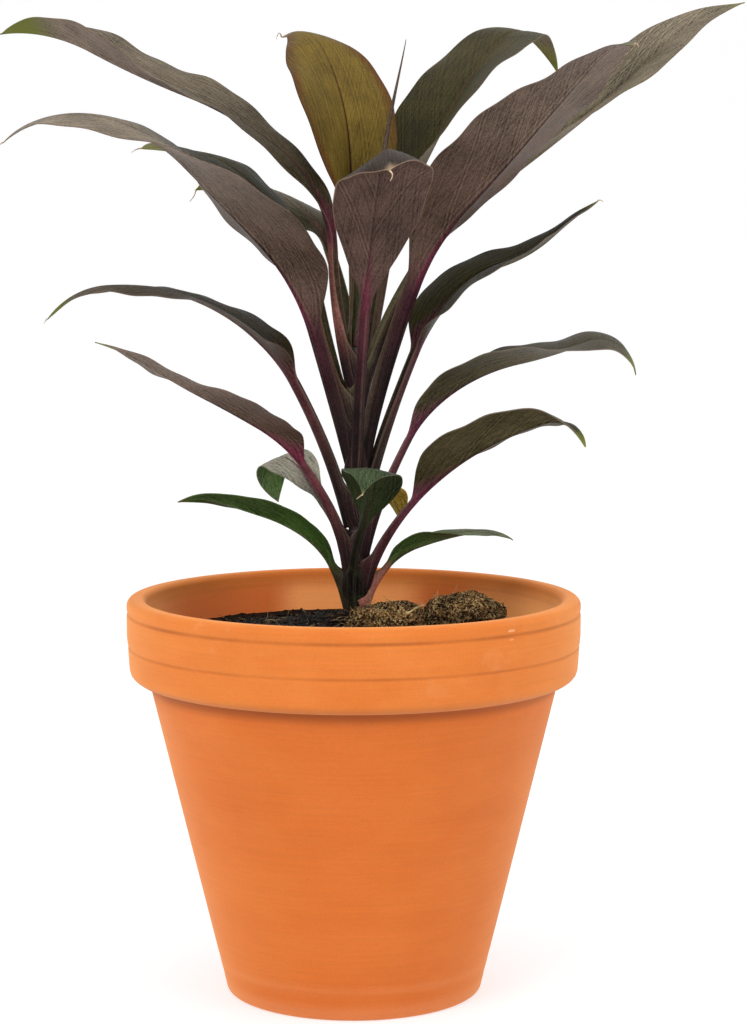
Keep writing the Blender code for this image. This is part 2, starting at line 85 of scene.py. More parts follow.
# The soil, the cane and the clods, as in the part
SOIL_EDGE_HEIGHT = 0.1655
SOIL_MOUND_HEIGHT = 0.0115
MOUND_FALL = 0.8
CANE_FOOT = 0.150
CANE_TOP = 0.300
CANE_OFFSET = 0.001
CANE_TAPER = ((0.170, 0.0040), (0.300, 0.0023))
CLEARANCE = 0.0003
CLODS = {
    "peat_clod_low": dict(centre=(0.0150, -0.0240), half=(0.0190, 0.0115, 0.0070), turn=-6, seed=3),
    "peat_clod_tall": dict(centre=(0.0500, 0.0040), half=(0.0190, 0.0150, 0.0100), turn=12, seed=11),
}
SEAT_MARGIN = 0.006
SEAT_BLEND = 0.35
SEAT_DEPTH = 0.0005

# Where the painted shade of the dark cleft between the two clods lies, from side to side
CLEFT_SHADE_SIDE = 0.0338

# Two bent stalks of straw on the low clod, as points along each
STRAWS = (
    ((0.0157, -0.0340, 0.1781), (0.0202, -0.0340, 0.1799), (0.0243, -0.0330, 0.1811),
     (0.0283, -0.0320, 0.1837), (0.0324, -0.0310, 0.1850)),
    ((0.0190, -0.0335, 0.1772), (0.0205, -0.0335, 0.1788), (0.0222, -0.0335, 0.1800),
     (0.0236, -0.0330, 0.1816), (0.0262, -0.0325, 0.1822)),
)

# The leaves' common sizes, as in the part, in metres and degrees
STALK_THICKNESS = 0.0019
BLADE_RIB_THICKNESS = 0.0014
RIB_THINS_BY = 0.15
SHEATH_LENGTH = 0.017
SHEATH_REACH = 0.62
TWIST_SHARE = 0.8
SEAT_GAP = 0.00035
CHANNEL_ANGLES = (25, 85)
EDGE_FLARE = 12
OPENING_SHARE = 0.2
OUTLINE_SWELL = 1.2
WAVE_OFFSET = 0.13
FINE_STEPS = 400

# Points along a sheath, and their spacing along a stalk and a blade
SHEATH_STEPS = 20
STALK_STEP = 0.0022
BLADE_STEP = 0.0015

# Each leaf, as in the part: root (height in mm, side in degrees), turn and sway of the heading,
# stalk (length, half strip at its foot and at its neck in mm), blade (length, width in mm), lean from
# upright at the root, the blade's start, its quarters and its tip, fold and roll at the blade's start
# and tip, where it is widest, and its edge waves (height in mm, count)
LEAF_KEYS = ("root", "turn", "sway", "stalk", "blade", "lean", "fold", "roll", "widest", "wave")
LEAF_ROWS = {
    "leaf_01_low_left": (
        (179, 165), 176, 11, (20, 2.7, 2.2), (83, 24),
        (13, 25, 56, 73, 72, 109), (52, 1), (-1, 42), 0.36, (0.4, 2)),
    "leaf_02_low_right": (
        (178, 22), 24, 10, (23, 2.3, 1.5), (73, 19),
        (15, 43, 75, 82, 89, 128), (59, -27), (-29, 26), 0.32, (0.3, 2)),
    "leaf_03_front_small": (
        (181, 259), 290, -59, (41, 2.5, 1.7), (64, 28),
        (13, 40, 32, 41, 93, 189), (50, -29), (-35, 6), 0.52, (0.8, 1.5)),
    "leaf_04_left_lower": (
        (194, 213), 207, -8, (59, 4.2, 1.9), (115, 43),
        (10, 38, 61, 64, 58, 74), (24, 5), (-1, 7), 0.28, (0.8, 2.5)),
    "leaf_05_right_lower": (
        (185, 329), 329, -20, (52, 3.8, 1.5), (110, 43),
        (16, 44, 56, 66, 75, 149), (31, 14), (-5, -20), 0.37, (1.0, 2)),
    "leaf_06_back_left": (
        (197, 135), 134, -15, (35, 3.2, 2.4), (68, 24),
        (13, 49, 44, 77, 171, 250), (12, -6), (-43, 4), 0.56, (0.8, 1.5)),
    "leaf_07_back_small": (
        (198, 60), 54, -10, (26, 2.4, 1.6), (35, 18),
        (13, 27, 50, 108, 155, 175), (26, 12), (0, 0), 0.45, (0.4, 1)),
    "leaf_08_left_middle": (
        (217, 180), 185, 7, (71, 5.0, 3.4), (134, 42),
        (13, 28, 51, 73, 92, 145), (29, -22), (-11, 1), 0.25, (1.0, 2.5)),
    "leaf_09_right_middle": (
        (202, 345), 354, 10, (59, 4.0, 1.5), (129, 53),
        (13, 27, 56, 78, 69, 178), (47, -5), (-16, 14), 0.61, (1.0, 2.5)),
    "leaf_10_right_upper": (
        (221, 15), 15, 18, (80, 4.8, 2.6), (120, 41),
        (13, 23, 43, 74, 52, 63), (21, 16), (16, -11), 0.27, (1.2, 2)),
    "leaf_11_left_upper": (
        (246, 195), 200, -60, (63, 5.2, 4.6), (196, 82),
        (15, 17, 44, 45, 82, 126), (29, -10), (18, -17), 0.34, (1.6, 2.5)),
    "leaf_12_front_centre": (
        (236, 275), 280, -10, (84, 3.8, 2.7), (138, 46),
        (17, 22, 32, 46, 83, 130), (1, -30), (-17, 20), 0.6, (1.6, 2)),
    "leaf_13_right_large": (
        (239, 3), 326, -49, (91, 6.4, 5.4), (190, 59),
        (9, 24, 49, 50, 60, 104), (44, 0), (-22, 17), 0.37, (1.4, 2.5)),
    "leaf_14_behind_left": (
        (264, 175), 145, -8, (62, 4.2, 3.2), (140, 40),
        (18, 14, 40, 56, 80, 94), (-6, 10), (-9, 14), 0.63, (1.0, 2)),
    "leaf_15_back_left": (
        (275, 99), 117, 55, (78, 4.2, 3.2), (105, 38),
        (16, 37, 63, 72, 84, 111), (-20, 19), (-19, 43), 0.54, (1.0, 2)),
    "leaf_16_top_left": (
        (282, 194), 174, -27, (62, 5.4, 2.6), (208, 42),
        (14, 1, 50, 69, 64, 95), (-1, 45), (-37, 17), 0.68, (1.4, 3)),
    "leaf_17_top_right": (
        (274, 12), 17, 1, (71, 4.8, 3.6), (204, 60),
        (13, 35, 55, 53, 47, 77), (59, 6), (10, 26), 0.31, (1.2, 2.5)),
    "leaf_18_top_back": (
        (294, 97), 103, 27, (47, 4.6, 3.6), (150, 52),
        (9, 6, 4, 37, 50, 110), (41, -16), (36, -15), 0.48, (1.4, 2)),
    "leaf_19_back_right": (
        (260, 71), 58, -12, (74, 4.8, 3.8), (215, 54),
        (24, 18, 42, 44, 59, 158), (55, -5), (-39, 18), 0.53, (1.4, 2.5)),
}
LEAVES = {name: dict(zip(LEAF_KEYS, row)) for name, row in LEAF_ROWS.items()}

# Which colours each leaf has; how far along the blade its tip colour starts; how strong the magenta
# blush is where its stalk meets the blade; how far the channel's olive-brown reaches over the stalk's
# flank; how salmon its stalk is; and how strong the painted sheen is on its outer part, as light painted
# into its colour
LEAF_LOOKS = {
    "leaf_01_low_left": ("green", 0.99, 0.2, 0.3, 0.0, 0.10),
    "leaf_02_low_right": ("green", 0.99, 0.2, 0.2, 0.9, 0.36),
    "leaf_03_front_small": ("deep_green", 1.03, 0.2, 0.3, 0.0, 0.06),
    "leaf_04_left_lower": ("purple", 0.98, 1.0, 0.2, 0.1, 0.30),
    "leaf_05_right_lower": ("dusky", 0.97, 0.8, 0.2, 0.1, 0.0),
    "leaf_06_back_left": ("grey_green", 1.2, 0.4, 0.3, 0.0, 0.0),
    "leaf_07_back_small": ("yellow", 0.98, 0.2, 0.3, 0.0, 0.0),
    "leaf_08_left_middle": ("purple", 0.93, 0.5, 0.2, 0.1, 0.25),
    "leaf_09_right_middle": ("dusky", 0.96, 0.8, 0.3, 0.1, 0.15),
    "leaf_10_right_upper": ("dusky", 0.99, 0.7, 0.2, 0.1, 0.0),
    "leaf_11_left_upper": ("purple", 1.0, 0.25, 0.1, 0.0, 0.54),
    "leaf_12_front_centre": ("front", 1.02, 0.45, 0.0, 0.0, 0.05),
    "leaf_13_right_large": ("purple", 1.0, 0.2, 0.6, 0.0, 0.22),
    "leaf_14_behind_left": ("olive", 0.92, 0.2, 0.2, 0.7, 0.0),
    "leaf_15_back_left": ("olive", 0.96, 0.2, 0.8, 0.2, 0.60),
    "leaf_16_top_left": ("purple", 0.89, 0.9, 0.3, 0.8, 0.41),
    "leaf_17_top_right": ("olive", 1.0, 0.2, 0.3, 0.1, 0.46),
    "leaf_18_top_back": ("gold", 0.985, 0.3, 0.8, 0.6, 0.0),
    "leaf_19_back_right": ("olive", 0.97, 0.2, 0.3, 0.1, 0.07),
}

# Dried leaf tips: where each thread bends and ends, as steps right, back and up from the tip in mm
DRY_TIPS = {
    "leaf_12_front_centre": ((1.2, -0.6, -1.8), (0.2, -1.0, -4.2)),
    "leaf_18_top_back": ((-1.2, -0.4, 1.8), (-2.6, -0.4, -1.2)),
    "leaf_15_back_left": ((-0.9, -0.4, -3.0), (-3.2, -0.4, -6.0)),
    "leaf_14_behind_left": ((-2.5, 0.0, -0.6), (-5.0, 0.0, -2.2)),
    "leaf_10_right_upper": ((1.6, 0.0, 0.3), (2.6, 0.0, -0.6)),
    "leaf_13_right_large": ((1.4, 0.0, 0.8), (2.4, -0.4, -1.0)),
    "leaf_03_front_small": ((-0.8, -0.6, -0.4), (-2.6, -1.0, -1.8)),
    "leaf_16_top_left": ((-1.4, 0.0, -0.4), (-2.6, 0.0, -0.9)),
    "leaf_11_left_upper": ((-1.2, 0.0, -0.8), (-2.0, 0.0, -1.8)),
    "leaf_08_left_middle": ((-0.8, 0.0, -0.9), (-1.6, 0.0, -2.2)),
}

# What each colour of a leaf is on, and each kind of leaf's colours in that order, as screen values
# out of 255
COLOUR_NAMES = {
    "upper": "Upper face", "under": "Under face", "rib": "Midrib", "stalk": "Stalk near the cane",
    "channel": "Inner face of the stalk", "blush": "Blush where stalk and blade meet",
    "margin": "Edge line", "tip": "Tip"}
LEAF_COLOURS = {
    "purple": (
        (48, 40, 22), (84, 65, 56), (58, 36, 34), (38, 26, 28),
        (82, 68, 54), (106, 42, 64), (118, 96, 84), (100, 104, 46)),
    "dusky": (
        (50, 46, 24), (78, 72, 50), (60, 40, 36), (44, 28, 32),
        (80, 68, 54), (102, 44, 70), (138, 122, 108), (112, 116, 50)),
    "olive": (
        (42, 38, 4), (84, 70, 40), (80, 54, 32), (50, 40, 36),
        (84, 84, 60), (92, 60, 58), (116, 98, 76), (112, 112, 48)),
    # A gold leaf's colours are its own olive-gold, brightened with painted light that shines through the
    # blade
    "gold": (
        (98, 80, 32), (78, 64, 31), (54, 22, 14), (60, 42, 34),
        (82, 84, 58), (80, 38, 22), (58, 32, 18), (186, 168, 140)),
    "front": (
        (38, 28, 23), (86, 67, 60), (58, 34, 36), (38, 26, 28),
        (70, 52, 42), (98, 42, 58), (150, 122, 100), (200, 172, 140)),
    "green": (
        (50, 82, 26), (56, 86, 34), (96, 118, 66), (48, 36, 32),
        (66, 72, 42), (74, 66, 44), (88, 108, 60), (104, 94, 50)),
    "deep_green": (
        (54, 70, 44), (40, 52, 28), (72, 84, 50), (30, 24, 23),
        (44, 50, 34), (40, 34, 28), (104, 108, 88), (214, 200, 120)),
    # A grey-green leaf's pale grey upper face is painted reflection of the light overhead, and its under
    # face is its own green, brightened with painted light shining through it
    "grey_green": (
        (158, 154, 138), (82, 124, 48), (90, 66, 70), (40, 30, 32),
        (84, 80, 66), (98, 66, 76), (128, 128, 104), (60, 92, 34)),
    "yellow": (
        (214, 190, 84), (216, 188, 84), (160, 130, 64), (76, 58, 40),
        (96, 80, 40), (130, 100, 60), (180, 146, 76), (170, 84, 34)),
}

# What else the leaf surface is given, and how much of its veins and grain a gold leaf shows
LEAF_NUMBERS = (
    "Tip Start", "Vein Contrast", "Blush Share", "Edge Tint", "Seed", "Flank Share", "Salmon Share",
    "Grain Share", "Sheen Share")
GOLD_CALM = 0.5

# Place and size of each studio light, in metres
LIGHTS = {"key": ((-1.5, -1.9, 1.7), 1.6), "top": ((0.1, -0.2, 2.2), 1.8), "fill": ((1.9, -1.3, 1.1), 1.4)}


def screen_colour(red, green, blue):
    """Linear colour of a screen value out of 255."""
    share = np.array((red, green, blue)) / 255.0
    linear = np.where(share <= 0.04045, share / 12.92, ((share + 0.055) / 1.055) ** 2.4)
    return tuple(float(value) for value in linear)


def ease(share):
    """Zero to one, flat at both ends."""
    share = np.clip(share, 0.0, 1.0)
    return share * share * (3.0 - 2.0 * share)


def lattice(cell, seed):
    """A fixed value from -1 to 1 for each whole-number cell: its three numbers mixed by a hash."""
    x, y, z = (cell[..., axis].astype(np.int64) for axis in range(3))
    mixed = (x * 374761393 + y * 668265263 + z * 1440662683 + seed * 974634777) & 0xFFFFFFFF
    mixed = ((mixed ^ (mixed >> 13)) * 1274126177) & 0xFFFFFFFF
    return ((mixed ^ (mixed >> 16)) & 0xFFFF) / 32767.5 - 1.0


def value_noise(points, seed=0):
    """Smooth noise from -1 to 1: the eight lattice values round a point, blended by eased shares."""
    cell = np.floor(points)
    share = ease(points - cell)
    total = 0.0
    for corner in np.ndindex(2, 2, 2):
        weight = np.prod(np.where(np.array(corner) == 1, share, 1.0 - share), axis=-1)
        total = total + weight * lattice(cell + np.array(corner), seed)
    return total


def fractal_noise(points, scale, seed=0, octaves=3, gain=0.5):
    """Octaves of smooth noise, each twice as fine and gain times as high as the last."""
    total, height, reach = 0.0, 1.0, 0.0
    for octave in range(octaves):
        total = total + height * value_noise(points * scale * 2.0 ** octave, seed + octave)
        reach += height
        height *= gain
    return total / reach


def link(name, data):
    """A new object in the scene, at the origin."""
    made = bpy.data.objects.new(name, data)
    bpy.context.scene.collection.objects.link(made)
    return made


def add_piece(name, points, faces, material, node=None, attributes=None, smooth_angle=50.0):
    """A finished mesh piece that rides on the part, with its finish and what it stands for."""
    mesh = bpy.data.meshes.new(name)
    mesh.from_pydata(np.asarray(points, dtype=float).tolist(), [], faces)
    for label, values in (attributes or {}).items():
        layer = mesh.attributes.new(label, "FLOAT", "POINT")
        layer.data.foreach_set("value", np.ascontiguousarray(values, dtype=np.float32).ravel())
    mesh.validate()
    mesh.materials.append(material)
    mesh.shade_smooth()
    mesh.set_sharp_from_angle(angle=math.radians(smooth_angle))
    piece = link(name, mesh)
    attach(piece, "root")
    if node:
        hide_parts(node)
    return piece


def grid_quads(rows, columns, wrap=False, flip=False):
    """Four-sided faces between the points of a grid; wrap joins the last column to the first."""
    index = np.arange(rows * columns).reshape(rows, columns)
    if wrap:
        index = np.concatenate([index, index[:, :1]], axis=1)
    quads = np.stack([index[:-1, :-1], index[1:, :-1], index[1:, 1:], index[:-1, 1:]], -1).reshape(-1, 4)
    return quads[:, ::-1] if flip else quads


def turned_surface(profile, sides):
    """A profile of (radius, height) points carried round the Z axis, closed where it meets the axis.

    Returns the ring points (rows, sides, 3), and the faces with a fan of triangles at both poles.
    The profile runs from the axis, under the form, up its outside and back to the axis.
    """
    angles = np.linspace(0.0, 2 * np.pi, sides, endpoint=False)
    radius, height = profile[1:-1, 0], profile[1:-1, 1]
    rings = np.stack([
        radius[:, None] * np.cos(angles), radius[:, None] * np.sin(angles),
        np.repeat(height[:, None], sides, axis=1)], -1)
    count = len(radius) * sides
    faces = grid_quads(len(radius), sides, wrap=True, flip=True).tolist()
    first, last = np.arange(sides), np.arange(sides) + count - sides
    faces += [[count, b, a] for a, b in zip(first, np.roll(first, -1))]
    faces += [[count + 1, a, b] for a, b in zip(last, np.roll(last, -1))]
    poles = np.array([[0, 0, profile[0, 1]], [0, 0, profile[-1, 1]]])
    return rings, faces, poles


def tube_mesh(paths, radii, sides=4):
    """Round bars along many paths at once.

    paths is (count, steps, 3) and radii (count, steps). Each ring is a circle across the path's own
    direction, on two directions square to it, and both ends are closed by one face.
    """
    count, steps = paths.shape[:2]
    forward = np.gradient(paths, axis=1)
    forward /= np.maximum(np.linalg.norm(forward, axis=-1, keepdims=True), 1e-9)
    helper = np.where(np.abs(forward[..., 2:]) > 0.8, (1.0, 0.0, 0.0), (0.0, 0.0, 1.0))
    first = np.cross(forward, helper)
    first /= np.maximum(np.linalg.norm(first, axis=-1, keepdims=True), 1e-9)
    second = np.cross(forward, first)
    angles = np.linspace(0.0, 2 * np.pi, sides, endpoint=False)
    ring = first[:, :, None] * np.cos(angles)[:, None] + second[:, :, None] * np.sin(angles)[:, None]
    points = paths[:, :, None] + ring * radii[:, :, None, None]
    quads = grid_quads(steps, sides, wrap=True, flip=True)
    shift = (np.arange(count) * steps * sides)[:, None, None]
    faces = (quads[None] + shift).reshape(-1, 4).tolist()
    base = np.arange(sides)
    caps = np.stack([base[::-1], base + (steps - 1) * sides])
    faces += (caps[None] + shift).reshape(-1, sides).tolist()
    return points.reshape(-1, 3), faces


class Graph:
    """Short ways to place and join the nodes of one shader tree."""

    def __init__(self, tree):
        self.tree = tree

    def node(self, kind, values=None, **settings):
        made = self.tree.nodes.new(kind)
        for key, value in settings.items():
            setattr(made, key, value)
        for key, value in (values or {}).items():
            self.put(made.inputs[key], value)
        return made

    def put(self, socket, value):
        """Join an output to a socket, or set the socket's own value."""
        if isinstance(value, bpy.types.NodeSocket):
            self.tree.links.new(value, socket)
        elif socket.type == "RGBA" and len(value) == 3:
            socket.default_value = (*value, 1.0)
        else:
            socket.default_value = value

    def math(self, operation, *values, clamp=False):
        made = self.node("ShaderNodeMath", operation=operation, use_clamp=clamp)
        for socket, value in zip(made.inputs, values):
            self.put(socket, value)
        return made.outputs[0]

    def times(self, first, second):
        return self.math("MULTIPLY", first, second)

    def plus(self, first, second):
        return self.math("ADD", first, second)

    def minus(self, first, second, clamp=False):
        return self.math("SUBTRACT", first, second, clamp=clamp)

    def larger(self, first, second):
        return self.math("MAXIMUM", first, second)

    def times_plus(self, value, factor, added):
        return self.math("MULTIPLY_ADD", value, factor, added)

    def mix(self, share, low, high, blend="MIX"):
        made = self.node("ShaderNodeMix", data_type="RGBA", blend_type=blend)
        self.put(made.inputs[0], share)
        self.put(made.inputs[6], low)
        self.put(made.inputs[7], high)
        return made.outputs[2]

    def cover(self, colour, mask, strength, paint):
        """A colour with paint over it where the mask is, as strong as mask times strength."""
        return self.mix(self.times(mask, strength), colour, paint)

    def brighten(self, colour, factor):
        """A colour times one factor for its three parts."""
        factors = self.node("ShaderNodeCombineXYZ", {"X": factor, "Y": factor, "Z": factor}).outputs[0]
        return self.mix(1.0, colour, factors, blend="MULTIPLY")

    def band(self, value, middle, reach, share):
        """A mask with its full share where a value is at the middle, gone at the reach."""
        return self.span(self.math("ABSOLUTE", self.minus(value, middle)), 0.0, reach, share, 0.0)

    def span(self, value, start, end, low=0.0, high=1.0):
        """A value's smooth way from low to high while it goes from start to end."""
        made = self.node("ShaderNodeMapRange", {0: value, 1: start, 2: end, 3: low, 4: high},
                         interpolation_type="SMOOTHSTEP")
        return made.outputs[0]

    def noise(self, vector, scale, detail=2.0, roughness=0.5, distortion=0.0):
        made = self.node("ShaderNodeTexNoise", {
            "Vector": vector, "Scale": scale, "Detail": detail, "Roughness": roughness,
            "Distortion": distortion})
        return made.outputs["Fac"]

    def stripes(self, value, scale, detail=1.0):
        """Noise of one number, which gives uneven stripes."""
        made = self.node("ShaderNodeTexNoise", {"W": value, "Scale": scale, "Detail": detail},
                         noise_dimensions="1D")
        return made.outputs["Fac"]

    def cells(self, vector, scale):
        made = self.node("ShaderNodeTexVoronoi", {"Vector": vector, "Scale": scale})
        return made.outputs["Distance"]

    def place(self, scale=(1.0, 1.0, 1.0)):
        """Object coordinates, stretched."""
        made = self.node("ShaderNodeTexCoord").outputs["Object"]
        return self.node("ShaderNodeMapping", {"Vector": made, "Scale": scale}).outputs[0]

    def coordinate(self, axis):
        """One of the Object coordinates."""
        return self.node("ShaderNodeSeparateXYZ", {"Vector": self.place()}).outputs[axis]

    def attribute(self, name):
        return self.node("ShaderNodeAttribute", attribute_name=name).outputs["Fac"]


def new_group(name, inputs, outputs):
    """A shader node group with named sockets: (name, kind, default) in and (name, kind) out."""
    tree = bpy.data.node_groups.new(name, "ShaderNodeTree")
    kinds = {"colour": "NodeSocketColor", "number": "NodeSocketFloat"}
    for label, kind, default in inputs:
        socket = tree.interface.new_socket(label, in_out="INPUT", socket_type=kinds[kind])
        if default is not None:
            socket.default_value = default
    for label, kind in outputs:
        tree.interface.new_socket(label, in_out="OUTPUT", socket_type=kinds[kind])
    graph = Graph(tree)
    return graph, graph.node("NodeGroupInput").outputs, graph.node("NodeGroupOutput").inputs


def grain_group():
    """Speckle and mottling that the clay, soil and bark share: a mask from 0 to 1 and a height."""
    if "surface_grain" in bpy.data.node_groups:
        return bpy.data.node_groups["surface_grain"]
    graph, given, out = new_group(
        "surface_grain",
        [("Blotch Scale", "number", 30.0), ("Speck Scale", "number", 1500.0), ("Stretch", "number", 1.0)],
        [("Blotch", "number"), ("Speck", "number"), ("Height", "number")])
    place = graph.node("ShaderNodeTexCoord").outputs["Object"]
    stretch = graph.node("ShaderNodeCombineXYZ", {"X": 1.0, "Y": 1.0, "Z": given["Stretch"]}).outputs[0]
    made = graph.node("ShaderNodeVectorMath", {0: place, 1: stretch}, operation="MULTIPLY").outputs[0]
    blotch = graph.noise(made, given["Blotch Scale"], detail=4.0, roughness=0.6)
    speck = graph.noise(place, given["Speck Scale"], detail=3.0, roughness=0.7)
    graph.put(out["Blotch"], graph.span(blotch, 0.32, 0.68))
    graph.put(out["Speck"], graph.span(speck, 0.35, 0.65))
    graph.put(out["Height"], graph.plus(graph.times(blotch, 0.6), graph.times(speck, 0.4)))
    return graph.tree


def add_grain(graph, blotch_scale, speck_scale, stretch=1.0):
    """The shared grain in a material, with its own scales; gives its outputs."""
    values = {"Blotch Scale": blotch_scale, "Speck Scale": speck_scale, "Stretch": stretch}
    return graph.node("ShaderNodeGroup", values, node_tree=grain_group()).outputs


def new_material(name, roughness, **plain):
    """A material with its Principled shader, and the plain values that are the same all over it."""
    material = bpy.data.materials.new(name)
    material.use_nodes = True
    shader = material.node_tree.nodes["Principled BSDF"]
    shader.inputs["Roughness"].default_value = roughness
    for key, value in plain.items():
        shader.inputs[key.replace("_", " ")].default_value = value
    return material, Graph(material.node_tree), shader


def add_bump(graph, shader, height, distance, strength=1.0):
    """Feed a height to the shader's normal."""
    made = graph.node("ShaderNodeBump", {"Height": height, "Distance": distance, "Strength": strength})
    graph.put(shader.inputs["Normal"], made.outputs[0])


# The pot
def arc(centre_radius, centre_height, radius, start, end, steps):
    """Points (radius, height) along a circle from one angle to another, in degrees."""
    angles = np.radians(np.linspace(start, end, steps + 1))
    return np.stack([centre_radius + radius * np.cos(angles), centre_height + radius * np.sin(angles)], -1)


def inner_radius(height):
    """Radius of the pot's inner wall at a height above the base."""
    return FLOOR_RADIUS + WALL_SLOPE * (height - FLOOR_THICKNESS)


def fill_in(profile, step):
    """The profile with more points, no further apart than a step."""
    lengths = np.hypot(*np.diff(profile, axis=0).T)
    parts = [np.linspace(a, b, max(1, int(np.ceil(l / step))), endpoint=False)
             for a, b, l in zip(profile[:-1], profile[1:], lengths)]
    return np.concatenate(parts + [profile[-1:]])


def pot_profile(settings):
    """Outline of the pot's wall from under the base, up the outside, over the lip and down the inside.

    The turned lines are shallow dips in the radius: each is a bell curve of the height.
    """
    top = POT_HEIGHT
    outside = np.concatenate([
        arc(BASE_RADIUS - BASE_ROUND, BASE_ROUND, BASE_ROUND, -90, -12, 8),
        [(CREASE_RADIUS - 0.0006, top - COLLAR_DEPTH - 0.0022)],
        [(CREASE_RADIUS + 0.0004, top - COLLAR_DEPTH + 0.0001)],
        [(radius, top - depth) for radius, depth in COLLAR_CURVE],
        arc(RIM_RADIUS - LIP_ROUND_OUTER, top - LIP_ROUND_OUTER, LIP_ROUND_OUTER, 0, 90, 10)])
    lip_inner = RIM_RADIUS - LIP_WIDTH
    inside = np.concatenate([
        arc(lip_inner + LIP_ROUND_INNER, top - LIP_ROUND_INNER, LIP_ROUND_INNER, 90, 180, 8),
        [(inner_radius(FLOOR_THICKNESS + FLOOR_ROUND), FLOOR_THICKNESS + FLOOR_ROUND)],
        [(FLOOR_RADIUS - FLOOR_ROUND / 2, FLOOR_THICKNESS + FLOOR_ROUND / 4)],
        [(FLOOR_RADIUS - FLOOR_ROUND, FLOOR_THICKNESS), (0.0, FLOOR_THICKNESS)]])
    outside = fill_in(outside, 0.0008)
    for depth, dip, width in settings.turned_lines():
        outside[:, 0] -= dip * np.exp(-((outside[:, 1] - (top - depth)) / width) ** 2)
    return np.concatenate([[(0.0, 0.0)], outside, fill_in(inside, 0.004)])


def outside_mask(graph, height):
    """1 on the pot's outside and lip and 0 on its inner wall, by the distance from the inner wall."""
    flat = graph.place((1.0, 1.0, 0.0))
    radius = graph.node("ShaderNodeVectorMath", {0: flat}, operation="LENGTH").outputs["Value"]
    wall = graph.times_plus(height, WALL_SLOPE, FLOOR_RADIUS - WALL_SLOPE * FLOOR_THICKNESS)
    body = graph.span(graph.minus(radius, wall), 0.0020, 0.0050)
    return graph.larger(graph.span(radius, 0.0935, 0.0965), body)


